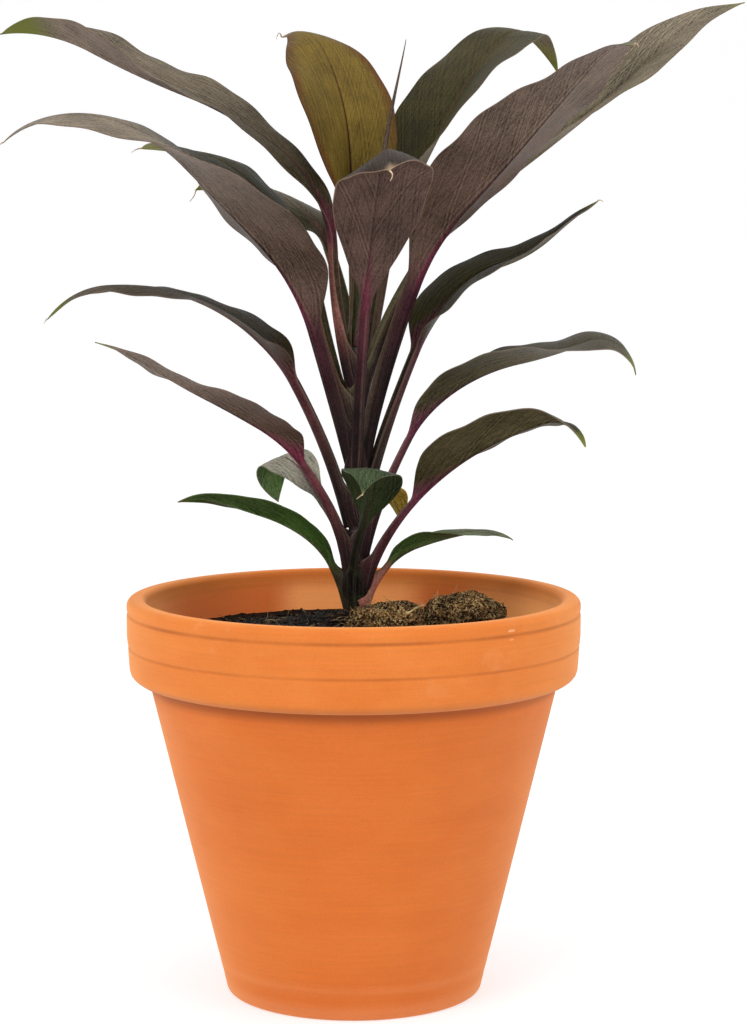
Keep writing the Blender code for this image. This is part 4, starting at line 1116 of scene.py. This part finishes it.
def leaf_material(name, looks, seed, settings):
    """One leaf's material: the shared leaf surface with its own colours."""
    kind, tip_start, blush, flank, salmon, sheen = looks
    colours = getattr(bpy.context.scene, "cordyline_" + kind)
    calm = GOLD_CALM if kind == "gold" else 1.0
    values = {key.title(): getattr(colours, key) for key in COLOUR_NAMES}
    values.update({
        "Salmon": settings.salmon, "Sheen": settings.sheen, "Tip Start": tip_start, "Blush Share": blush,
        "Seed": 0.37 * seed, "Vein Contrast": calm * settings.vein_contrast,
        "Grain Share": calm * settings.grain, "Flank Share": flank, "Salmon Share": salmon,
        "Edge Tint": settings.gold_edge if kind == "gold" else settings.edge_tint, "Sheen Share": sheen})
    material, graph, shader = new_material(name, 0.5, Specular_IOR_Level=0.05)
    group = graph.node("ShaderNodeGroup", values, node_tree=leaf_group())
    graph.put(shader.inputs["Base Color"], group.outputs["Color"])
    graph.put(shader.inputs["Roughness"], group.outputs["Roughness"])
    add_bump(graph, shader, group.outputs["Height"], 0.0004, 0.6)
    return material


def colour_property(name, description, value):
    """A colour that a user can change, from a screen value."""
    return bpy.props.FloatVectorProperty(
        name=name, description=description, subtype="COLOR", min=0.0, max=1.0, default=screen_colour(*value))


def length_property(name, description, default):
    """A length that a user can change, in metres."""
    return bpy.props.FloatProperty(
        name=name, description=description, default=default, precision=5, unit="LENGTH")


def number_property(name, description, default, low=0.0, high=1000.0):
    """A plain number that a user can change."""
    return bpy.props.FloatProperty(name=name, description=description, default=default, min=low, max=high)


def count_property(name, description, default, low):
    """A whole number that a user can change."""
    return bpy.props.IntProperty(name=name, description=description, default=default, min=low)


def leaf_colours_type(kind):
    """A property group with the colours of one kind of leaf."""
    leaf = " of a " + kind.replace("_", " ") + " leaf"
    fields = {part: colour_property(part.title(), use + leaf, value)
              for (part, use), value in zip(COLOUR_NAMES.items(), LEAF_COLOURS[kind])}
    title = kind.title().replace("_", "") + "LeafColours"
    return type(title, (bpy.types.PropertyGroup,), {"__annotations__": fields})


LEAF_COLOUR_TYPES = {kind: leaf_colours_type(kind) for kind in LEAF_COLOURS}


class PotSettings(bpy.types.PropertyGroup):
    """Sizes and colours of the clay pot."""
    clay: colour_property("Clay", "Main colour of the fired clay", (227, 134, 53))
    clay_deep: colour_property("Deep clay", "Redder clay in broad patches", (220, 123, 46))
    clay_light: colour_property("Light clay", "Paler mottling", (234, 147, 70))
    # Painted shade for the body below the collar
    body_shade_tint: colour_property("Body tint", "What the body's clay is multiplied by", (244, 225, 212))
    # Painted shade in the turned lines and the crease
    line: colour_property("Line shade", "Dust and shade in the turned lines and the crease", (150, 68, 24))
    # Shaded and lit copies of the clay for the inner wall: painted shade and painted light
    inside_shaded_clay: colour_property("Shaded inner clay", "Clay inside, above the soil", (228, 122, 54))
    inside_lit_clay: colour_property("Bright clay", "Clay inside, at the back and at the sides", (255, 178, 104))
    dust: number_property("Dust", "How strongly fine dust shows where the clay turns away", 0.34)
    dust_tint: colour_property("Dust tint", "Colour of the fine dust", (252, 206, 160))
    # Chalk for the bloom and chips, and painted floor light at the base
    chalk_and_floor_light: colour_property("Chalk", "Pale bloom and chips", (246, 186, 138))
    speck: colour_property("Specks", "Dark grit in the clay", (120, 62, 34))
    bloom: number_property("Bloom", "How strong the pale bloom is", 0.16, 0.0, 1.0)
    groove_depth: length_property("Groove depth", "Depth of the line under the lip", 0.0005)
    sides: count_property("Sides", "Steps round the pot", 256, 32)

    def turned_lines(self):
        """Depth below the rim, dip and width of each line turned into the outside."""
        deep = self.groove_depth
        return ((0.0065, deep, 0.0008), (0.0220, 0.8 * deep, 0.0006), (0.1680, 0.15 * deep, 0.0020),
                (0.1760, 0.18 * deep, 0.0016))

    def chip_places(self):
        """Place and radius of two pale chips by the line under the lip, at the front right."""
        angle = math.radians(-48.8)
        return [((RIM_RADIUS * math.cos(angle), RIM_RADIUS * math.sin(angle), POT_HEIGHT - depth), size)
                for depth, size in ((0.0045, 0.0024), (0.0085, 0.0014))]


class SoilSettings(bpy.types.PropertyGroup):
    """Sizes and colours of the soil, the clods and the fibres."""
    roughness: length_property("Roughness", "Height of the soil's clumps", 0.0012)
    lump: length_property("Clod lumps", "Height of a clod's lumps", 0.0016)
    crumb: length_property("Clod crumbs", "Height of a clod's crumbs", 0.0013)
    crumbs: count_property("Crumbs", "Loose crumbs on the soil", 1500, 0)
    hairs: count_property("Root hairs", "Thin roots on the soil", 90, 1)
    fibres: count_property("Fibres", "Fibres on each clod", 260, 1)
    wet: colour_property("Wet", "Darkest wet soil", (4, 3, 2))
    damp: colour_property("Damp", "Damp soil", (18, 12, 8))
    fibre: colour_property("Root fibre", "Fibres in the damp soil", (124, 94, 62))
    red_bit: colour_property("Reddish bits", "Bark bits", (92, 44, 30))
    green_bit: colour_property("Greenish bits", "Moss bits", (52, 62, 38))
    peat: colour_property("Peat", "Main colour of dry peat", (126, 92, 48))
    peat_dark: colour_property("Dark peat", "Darker peat", (34, 22, 11))
    # Painted highlight on the crumb tops, and painted shade in the gaps between crumbs
    peat_lit_tops: colour_property("Light peat", "Crumb tops", (222, 188, 134))
    peat_pit_shade: colour_property("Pits", "Gaps between crumbs", (14, 9, 5))
    straw: colour_property("Straw", "Straw and pale fibres", (196, 172, 122))
    straw_dark: colour_property("Dark straw", "Older parts of the straw", (150, 122, 78))


class LeafSettings(bpy.types.PropertyGroup):
    """Sizes that all leaves share."""
    edge_thickness: length_property("Edge thickness", "Thickness of the blade at its edge", 0.00045)
    tip_half_width: length_property("Tip half width", "Half width of the blade's last point", 0.0002)
    groove_depth: length_property("Groove depth", "Depth of the midrib's groove above", 0.00045)
    pleat_height: length_property("Pleat height", "Height of the low lengthwise pleats", 0.00016)
    pleats: number_property("Pleats", "Pleats on each half of the blade", 6.0)
    sheath_reach: length_property("Sheath reach", "How far up the sheath's V reaches", 0.0215)
    wrap_angle: number_property("Wrap angle", "Degrees that a sheath goes round a side", 150.0, 0.0, 175.0)
    dried: colour_property("Dried tip", "Dried threads at the tips", (206, 182, 150))
    dried_dark: colour_property("Dark dried tip", "Darker parts of the dried threads", (120, 96, 72))
    salmon: colour_property("Salmon", "Stalk colour of the paler leaves", (176, 110, 98))
    # Painted sheen: light painted on the outer part of some leaves
    sheen: colour_property("Sheen", "Pale cast on the outer part of some leaves", (164, 150, 132))
    vein_contrast: number_property("Vein contrast", "How strongly the veins show", 0.34, 0.0, 1.0)
    grain: number_property("Grain", "How strongly the fine grain shows", 0.26, 0.0, 1.0)
    edge_tint: number_property("Edge tint", "How strongly the blush shows along the edges", 0.0, 0.0, 1.0)
    gold_edge: number_property("Gold edge tint", "The same on a gold leaf", 0.75, 0.0, 1.0)
    columns: count_property("Columns", "Points across a leaf", 35, 7)


class CaneSettings(bpy.types.PropertyGroup):
    """Colours of the cane and size of the rolled young leaf."""
    bark: colour_property("Bark", "Main colour of the cane", (52, 40, 38))
    bark_light: colour_property("Light bark", "Rings and scars", (110, 84, 78))
    spear_length: length_property("Spear length", "Length of the rolled young leaf", 0.141)
    spear_lean: number_property("Spear lean", "Degrees from upright", 9.0, 0.0, 45.0)
    spear_heading: number_property("Spear heading", "Degrees round from the right", 8.0, -180.0, 180.0)


class StageSettings(bpy.types.PropertyGroup):
    """Floor, light and camera."""
    floor: colour_property("Floor", "Colour of the floor and backdrop", (186, 186, 187))
    glow: number_property("Floor glow", "How much the floor and backdrop shine", 0.585, 0.0, 5.0)
    sky: number_property("Sky", "Brightness all round", 0.5, 0.0, 10.0)
    key: number_property("Key light", "Power of the large light at the front left", 34.0, 0.0, 500.0)
    top: number_property("Top light", "Power of the light overhead", 24.0, 0.0, 500.0)
    fill: number_property("Fill light", "Power of the light at the right", 16.0, 0.0, 500.0)
    camera_height: length_property("Camera height", "Height of the camera", 0.3545)
    camera_distance: length_property("Camera distance", "How far the camera is in front of the pot", 1.22)
    camera_side: length_property("Camera side", "How far the camera is to the right", 0.00913)
    camera_pitch: number_property("Camera pitch", "Degrees that the camera looks down", 6.11, -90.0, 90.0)
    lens: number_property("Lens", "Focal length in millimetres for a frame 36 mm high", 93.34, 1.0, 500.0)


SETTINGS = {
    "pot": PotSettings, "soil": SoilSettings, "leaves": LeafSettings, "cane": CaneSettings,
    "stage": StageSettings}


def settings_of(context, part):
    """The settings of one part of the scene."""
    return getattr(context.scene, "cordyline_" + part)


class CORDYLINE_OT_pot(bpy.types.Operator):
    """Turn the clay pot with its lip, collar and lines"""
    bl_idname = "cordyline.pot"
    bl_label = "Clay pot"

    def execute(self, context):
        settings = settings_of(context, "pot")
        points, faces, poles = turned_surface(pot_profile(settings), settings.sides)
        uneven = 1.0 + 0.0012 * value_noise(points * 14.0, seed=2)[..., None] * (points[..., 2:] > 0.004)
        points[..., :2] *= uneven
        points = np.concatenate([points.reshape(-1, 3), poles])
        add_piece("clay_pot", points, faces, clay_material(settings), "pot", smooth_angle=60)
        return {"FINISHED"}


class CORDYLINE_OT_soil(bpy.types.Operator):
    """Lay the damp soil with its crumbs and root hairs"""
    bl_idname = "cordyline.soil"
    bl_label = "Soil"

    def execute(self, context):
        settings = settings_of(context, "soil")
        wet = soil_material(settings)
        peat = peat_material(settings)
        points, faces = soil_mesh(settings)
        add_piece("potting_soil", points, faces, wet, "soil", smooth_angle=80)
        places, sizes = scatter_on_soil(settings.crumbs, settings, seed=4)
        points, faces = crumb_mesh(places, sizes, seed=6)
        add_piece("soil_crumbs", points, faces, wet, smooth_angle=20)
        places, sizes = scatter_on_soil(700, settings, seed=14, low=(-0.004, -0.05), high=(0.075, 0.03))
        points, faces = crumb_mesh(places, sizes * 1.2, seed=16)
        add_piece("peat_crumbs", points, faces, peat, smooth_angle=20)
        self.add_hairs(settings)
        return {"FINISHED"}

    def add_hairs(self, settings):
        """Thin pale roots that wander over the soil, and a few that stand up at the left."""
        rng = np.random.default_rng(8)
        starts, _ = scatter_on_soil(settings.hairs, settings, seed=24)
        turn = rng.uniform(0, 2 * np.pi, len(starts))
        lift = np.where(starts[:, 0] < -0.045, 0.5, 0.08) * rng.random(len(starts))
        headings = np.column_stack([np.cos(turn), 0.4 * np.sin(turn), lift])
        lengths = rng.uniform(0.004, 0.014, len(starts))
        paths = wandering_paths(starts, headings, lengths, 0.22, 9, seed=28)
        ground = soil_height(paths[..., 0], paths[..., 1], settings.roughness)
        paths[..., 2] = np.maximum(paths[..., 2], ground + 0.0002)
        points, faces = tube_mesh(paths, taper(len(paths), 9, 0.00011))
        material = plain_fibre_material("root_hair", settings.straw, settings.fibre, 0.7)
        add_piece("root_hairs", points, faces, material)


class CORDYLINE_OT_clods(bpy.types.Operator):
    """Shape the two clods of dry peat, their fibres and the straw"""
    bl_idname = "cordyline.clods"
    bl_label = "Peat clods"

    def execute(self, context):
        settings = settings_of(context, "soil")
        peat = bpy.data.materials["dry_peat_moss"]
        thread = plain_fibre_material("peat_fibre", settings.straw, settings.peat, 0.85)
        rng = np.random.default_rng(40)
        for node in CLODS:
            points, normals, faces = clod_mesh(node, settings)
            add_piece(node + "_crumbly", points, faces, peat, node, smooth_angle=80)
            chosen = rng.integers(0, len(points), settings.fibres)
            side = np.cross(normals[chosen], rng.normal(size=(len(chosen), 3)))
            headings = side / np.linalg.norm(side, axis=1, keepdims=True) + 0.12 * normals[chosen]
            lengths = 0.002 + 0.006 * rng.random(len(chosen)) ** 2
            paths = wandering_paths(points[chosen], headings, lengths, 0.25, 7, seed=44)
            fibres, fibre_faces = tube_mesh(paths, taper(len(paths), 7, 0.00010))
            add_piece(node + "_fibres", fibres, fibre_faces, thread)
        self.add_straw(settings)
        return {"FINISHED"}

    def add_straw(self, settings):
        """Two bent stalks of straw on the low clod, as bars along drawn paths."""
        straws = np.array(STRAWS)
        share = np.linspace(0.0, 1.0, 24)
        knots = np.linspace(0.0, 1.0, straws.shape[1])
        paths = np.stack([
            [np.interp(share, knots, straw[:, axis]) for axis in range(3)] for straw in straws])
        paths = paths.transpose(0, 2, 1)
        points, faces = tube_mesh(paths, taper(len(paths), 24, 0.00048, tip=0.6), sides=8)
        material = plain_fibre_material("straw", settings.straw, settings.straw_dark, 0.6)
        add_piece("straw_bits", points, faces, material)


class CORDYLINE_OT_cane(bpy.types.Operator):
    """Grow the cane and the rolled young leaf on top"""
    bl_idname = "cordyline.cane"
    bl_label = "Cane and young leaf"

    def execute(self, context):
        settings = settings_of(context, "cane")
        material = self.bark(settings)
        heights = np.linspace(CANE_FOOT, CANE_TOP, 220)
        radii = np.interp(heights, *zip(*CANE_TAPER)) * (1 + 0.012 * np.sin(heights * 2100.0))
        profile = np.column_stack([np.r_[0.0, radii, 0.0], np.r_[CANE_FOOT, heights, CANE_TOP]])
        points, faces, poles = turned_surface(profile, 48)
        points = np.concatenate([points.reshape(-1, 3), poles])
        points[:, 0] += CANE_OFFSET
        add_piece("woody_cane", points, faces, material, "cane")
        self.add_spear(settings)
        return {"FINISHED"}

    def bark(self, settings):
        """Dark bark with fine rings and pale scars."""
        material, graph, shader = new_material("cane_bark_skin", 0.65)
        rings = graph.noise(graph.place((1.0, 1.0, 60.0)), 16.0, detail=3.0)
        grain = add_grain(graph, 200.0, 1800.0, 0.4)
        share = graph.times(graph.span(rings, 0.5, 0.75), grain["Blotch"])
        graph.put(shader.inputs["Base Color"], graph.mix(share, settings.bark, settings.bark_light))
        graph.put(shader.inputs["Roughness"], graph.span(grain["Speck"], 0.0, 1.0, 0.55, 0.8))
        add_bump(graph, shader, graph.plus(rings, grain["Height"]), 0.0005, 0.7)
        return material

    def add_spear(self, settings):
        """The young leaf as a slim rolled cone: its radius steps in once round, at its edge."""
        share = np.linspace(0.0, 1.0, 120)
        radius = np.interp(share, (0, 0.35, 1), (0.0016, 0.0022, 0.00018))
        angles = np.linspace(0.0, 2 * np.pi, 40, endpoint=False)
        turned = angles[None] + 2.5 * share[:, None]
        step = 1.0 - 0.16 * (angles / (2 * np.pi))[None]
        ring = radius[:, None] * step
        centre = 0.0012 * np.sin(2.4 * np.pi * share)[:, None] * share[:, None]
        height = share[:, None] * settings.spear_length + 0 * ring
        points = np.stack([ring * np.cos(turned) + centre, ring * np.sin(turned), height], -1)
        faces = grid_quads(len(share), len(angles), wrap=True, flip=True).tolist()
        last = (len(share) - 1) * len(angles)
        faces += [list(range(len(angles))), list(range(last, last + len(angles)))[::-1]]
        lean, heading = math.radians(settings.spear_lean), math.radians(settings.spear_heading)
        x, y, z = points.reshape(-1, 3).T
        x, z = x * math.cos(lean) + z * math.sin(lean), z * math.cos(lean) - x * math.sin(lean)
        x, y = x * math.cos(heading) - y * math.sin(heading), x * math.sin(heading) + y * math.cos(heading)
        base = CANE_TOP + CLEARANCE + 0.0016 * math.sin(lean)
        marks = {
            "across_mm": np.tile(6.0 + 2.0 * angles, len(share)),
            "edge_mm": np.tile(np.r_[0.0, np.full(len(angles) - 1, 4.0)], len(share)),
            "along_mm": np.repeat(share * settings.spear_length / MM, len(angles)),
            "along": np.repeat(share, len(angles)),
            "under": np.ones(len(x)),
        }
        looks = ("purple", 1.0, 0.2, 0.0, 0.0, 0.1)
        material = leaf_material("young_leaf", looks, 20, settings_of(bpy.context, "leaves"))
        add_piece("young_leaf_rolled", np.column_stack([x + CANE_OFFSET, y, z + base]), faces, material,
                  "leaf_20_rolled_spear", attributes=marks)


class CORDYLINE_OT_leaves(bpy.types.Operator):
    """Grow every leaf with its sheath, stalk and veined blade"""
    bl_idname = "cordyline.leaves"
    bl_label = "Leaves"

    def execute(self, context):
        settings = settings_of(context, "leaves")
        heights = np.array([leaf["root"][0] for leaf in LEAVES.values()])
        for number, (name, leaf) in enumerate(LEAVES.items(), start=1):
            above = heights - leaf["root"][0]
            nest = 0.00022 * ((above > 0) & (above < settings.sheath_reach / MM)).sum()
            points, faces, marks = strip_mesh(*leaf_faces(leaf, nest, number, settings))
            material = leaf_material(name + "_skin", LEAF_LOOKS[name], number, settings)
            add_piece(name + "_blade", place_on_cane(leaf, points), faces, material, name,
                      attributes=marks, smooth_angle=60)
        self.add_dry_tips(settings)
        return {"FINISHED"}

    def add_dry_tips(self, settings):
        """Dried threads that go on from some tips: each bends evenly through its middle step to its end."""
        share = np.linspace(0.0, 1.0, 14)[:, None]
        paths = []
        for name, steps in DRY_TIPS.items():
            leaf = LEAVES[name]
            end = (leaf["stalk"][0] + leaf["blade"][0]) * MM
            tip = place_on_cane(leaf, leaf_frame(leaf, np.array([end]))[0])
            middle, last = np.array(steps) * MM
            paths.append(tip + 4 * share * (1 - share) * middle + (2 * share - 1) * share * last)
        radii = np.interp(share[:, 0], (0, 0.3, 1), (0.00045, 0.00032, 0.00012)) * np.ones((len(paths), 1))
        points, faces = tube_mesh(np.array(paths), radii, sides=6)
        material = plain_fibre_material("dried_leaf", settings.dried, settings.dried_dark, 0.7)
        add_piece("dried_tips", points, faces, material)


class CORDYLINE_OT_stage(bpy.types.Operator):
    """Set up the pale floor, the soft light and the camera"""
    bl_idname = "cordyline.stage"
    bl_label = "Floor, light and camera"

    def execute(self, context):
        settings = settings_of(context, "stage")
        self.add_floor(settings)
        for name, (place, size) in LIGHTS.items():
            self.add_light(name + "_light", getattr(settings, name), place, size)
        self.add_camera(settings)
        scene = bpy.context.scene
        scene.view_settings.view_transform = "Standard"
        scene.view_settings.look = "None"
        world = bpy.data.worlds.new("studio")
        world.use_nodes = True
        sky = world.node_tree.nodes["Background"]
        sky.inputs["Color"].default_value = (1.0, 1.0, 1.0, 1.0)
        sky.inputs["Strength"].default_value = settings.sky
        scene.world = world
        return {"FINISHED"}

    def add_floor(self, settings):
        """A sheet that lies flat and then curves up behind the part: rows of points along that line."""
        flat = np.column_stack([np.linspace(-4.0, 2.0, 25), np.zeros(25)])
        angles = np.radians(np.linspace(-90.0, 0.0, 25)[1:])
        curve = np.column_stack([2.0 + 1.5 * np.cos(angles), 1.5 + 1.5 * np.sin(angles)])
        line = np.concatenate([flat, curve, [(3.5, 5.0)]])
        width = np.linspace(-5.0, 5.0, 41)
        points = np.stack([np.tile(width, (len(line), 1)), np.tile(line[:, :1], (1, len(width))),
                           np.tile(line[:, 1:], (1, len(width)))], -1)
        mesh = bpy.data.meshes.new("studio_floor")
        quads = grid_quads(len(line), len(width), flip=True)
        mesh.from_pydata(points.reshape(-1, 3).tolist(), [], quads.tolist())
        mesh.shade_smooth()
        material, graph, shader = new_material("studio_paper", 0.9, Specular_IOR_Level=0.1)
        shader.inputs["Base Color"].default_value = (*settings.floor, 1.0)
        shader.inputs["Emission Color"].default_value = (1.0, 1.0, 1.0, 1.0)
        shader.inputs["Emission Strength"].default_value = settings.glow
        mesh.materials.append(material)
        floor = link("studio_floor", mesh)

    def add_light(self, name, power, place, size):
        """A square soft light that faces the middle of the plant."""
        light = bpy.data.lights.new(name, "AREA")
        light.energy = power
        light.size = size
        lamp = link(name, light)
        lamp.location = place
        aim = np.array([0.0, 0.0, 0.22]) - np.array(place)
        tilt = math.atan2(math.hypot(aim[0], aim[1]), -aim[2])
        lamp.rotation_euler = (tilt, 0.0, math.atan2(-aim[0], aim[1]))

    def add_camera(self, settings):
        """The camera at the photograph's place and angle."""
        lens = bpy.data.cameras.new("photo_view")
        lens.sensor_fit = "AUTO"
        lens.sensor_width = 36.0
        lens.lens = settings.lens
        lens.clip_end = 50.0
        camera = link("photo_view", lens)
        camera.location = (settings.camera_side, -settings.camera_distance, settings.camera_height)
        camera.rotation_euler = (math.radians(90.0 - settings.camera_pitch), 0.0, 0.0)
        bpy.context.scene.camera = camera


OPERATORS = (
    CORDYLINE_OT_pot, CORDYLINE_OT_soil, CORDYLINE_OT_clods, CORDYLINE_OT_cane, CORDYLINE_OT_leaves,
    CORDYLINE_OT_stage)


class CORDYLINE_PT_panel(bpy.types.Panel):
    """The pieces of the potted cordyline, with their settings"""
    bl_label = "Potted cordyline"
    bl_idname = "CORDYLINE_PT_panel"
    bl_space_type = "VIEW_3D"
    bl_region_type = "UI"
    bl_category = "Cordyline"

    def draw(self, context):
        for operator in OPERATORS:
            self.layout.operator(operator.bl_idname)
        for part, kind in SETTINGS.items():
            box = self.layout.box()
            box.label(text=kind.__doc__)
            for field in kind.__annotations__:
                box.prop(settings_of(context, part), field)
        for kind in LEAF_COLOURS:
            box = self.layout.box()
            box.label(text="Colours of a " + kind.replace("_", " ") + " leaf")
            for field in COLOUR_NAMES:
                box.prop(settings_of(context, kind), field)


CLASSES = (*SETTINGS.values(), *LEAF_COLOUR_TYPES.values(), *OPERATORS, CORDYLINE_PT_panel)


def register():
    for kind in CLASSES:
        bpy.utils.register_class(kind)
    for part, kind in {**SETTINGS, **LEAF_COLOUR_TYPES}.items():
        setattr(bpy.types.Scene, "cordyline_" + part, bpy.props.PointerProperty(type=kind))


def unregister():
    for part in {**SETTINGS, **LEAF_COLOUR_TYPES}:
        delattr(bpy.types.Scene, "cordyline_" + part)
    for kind in reversed(CLASSES):
        bpy.utils.unregister_class(kind)


def main():
    register()
    bpy.ops.cordyline.pot()
    bpy.ops.cordyline.soil()
    bpy.ops.cordyline.clods()
    bpy.ops.cordyline.cane()
    bpy.ops.cordyline.leaves()
    bpy.ops.cordyline.stage()


if __name__ == "__main__":
    main()
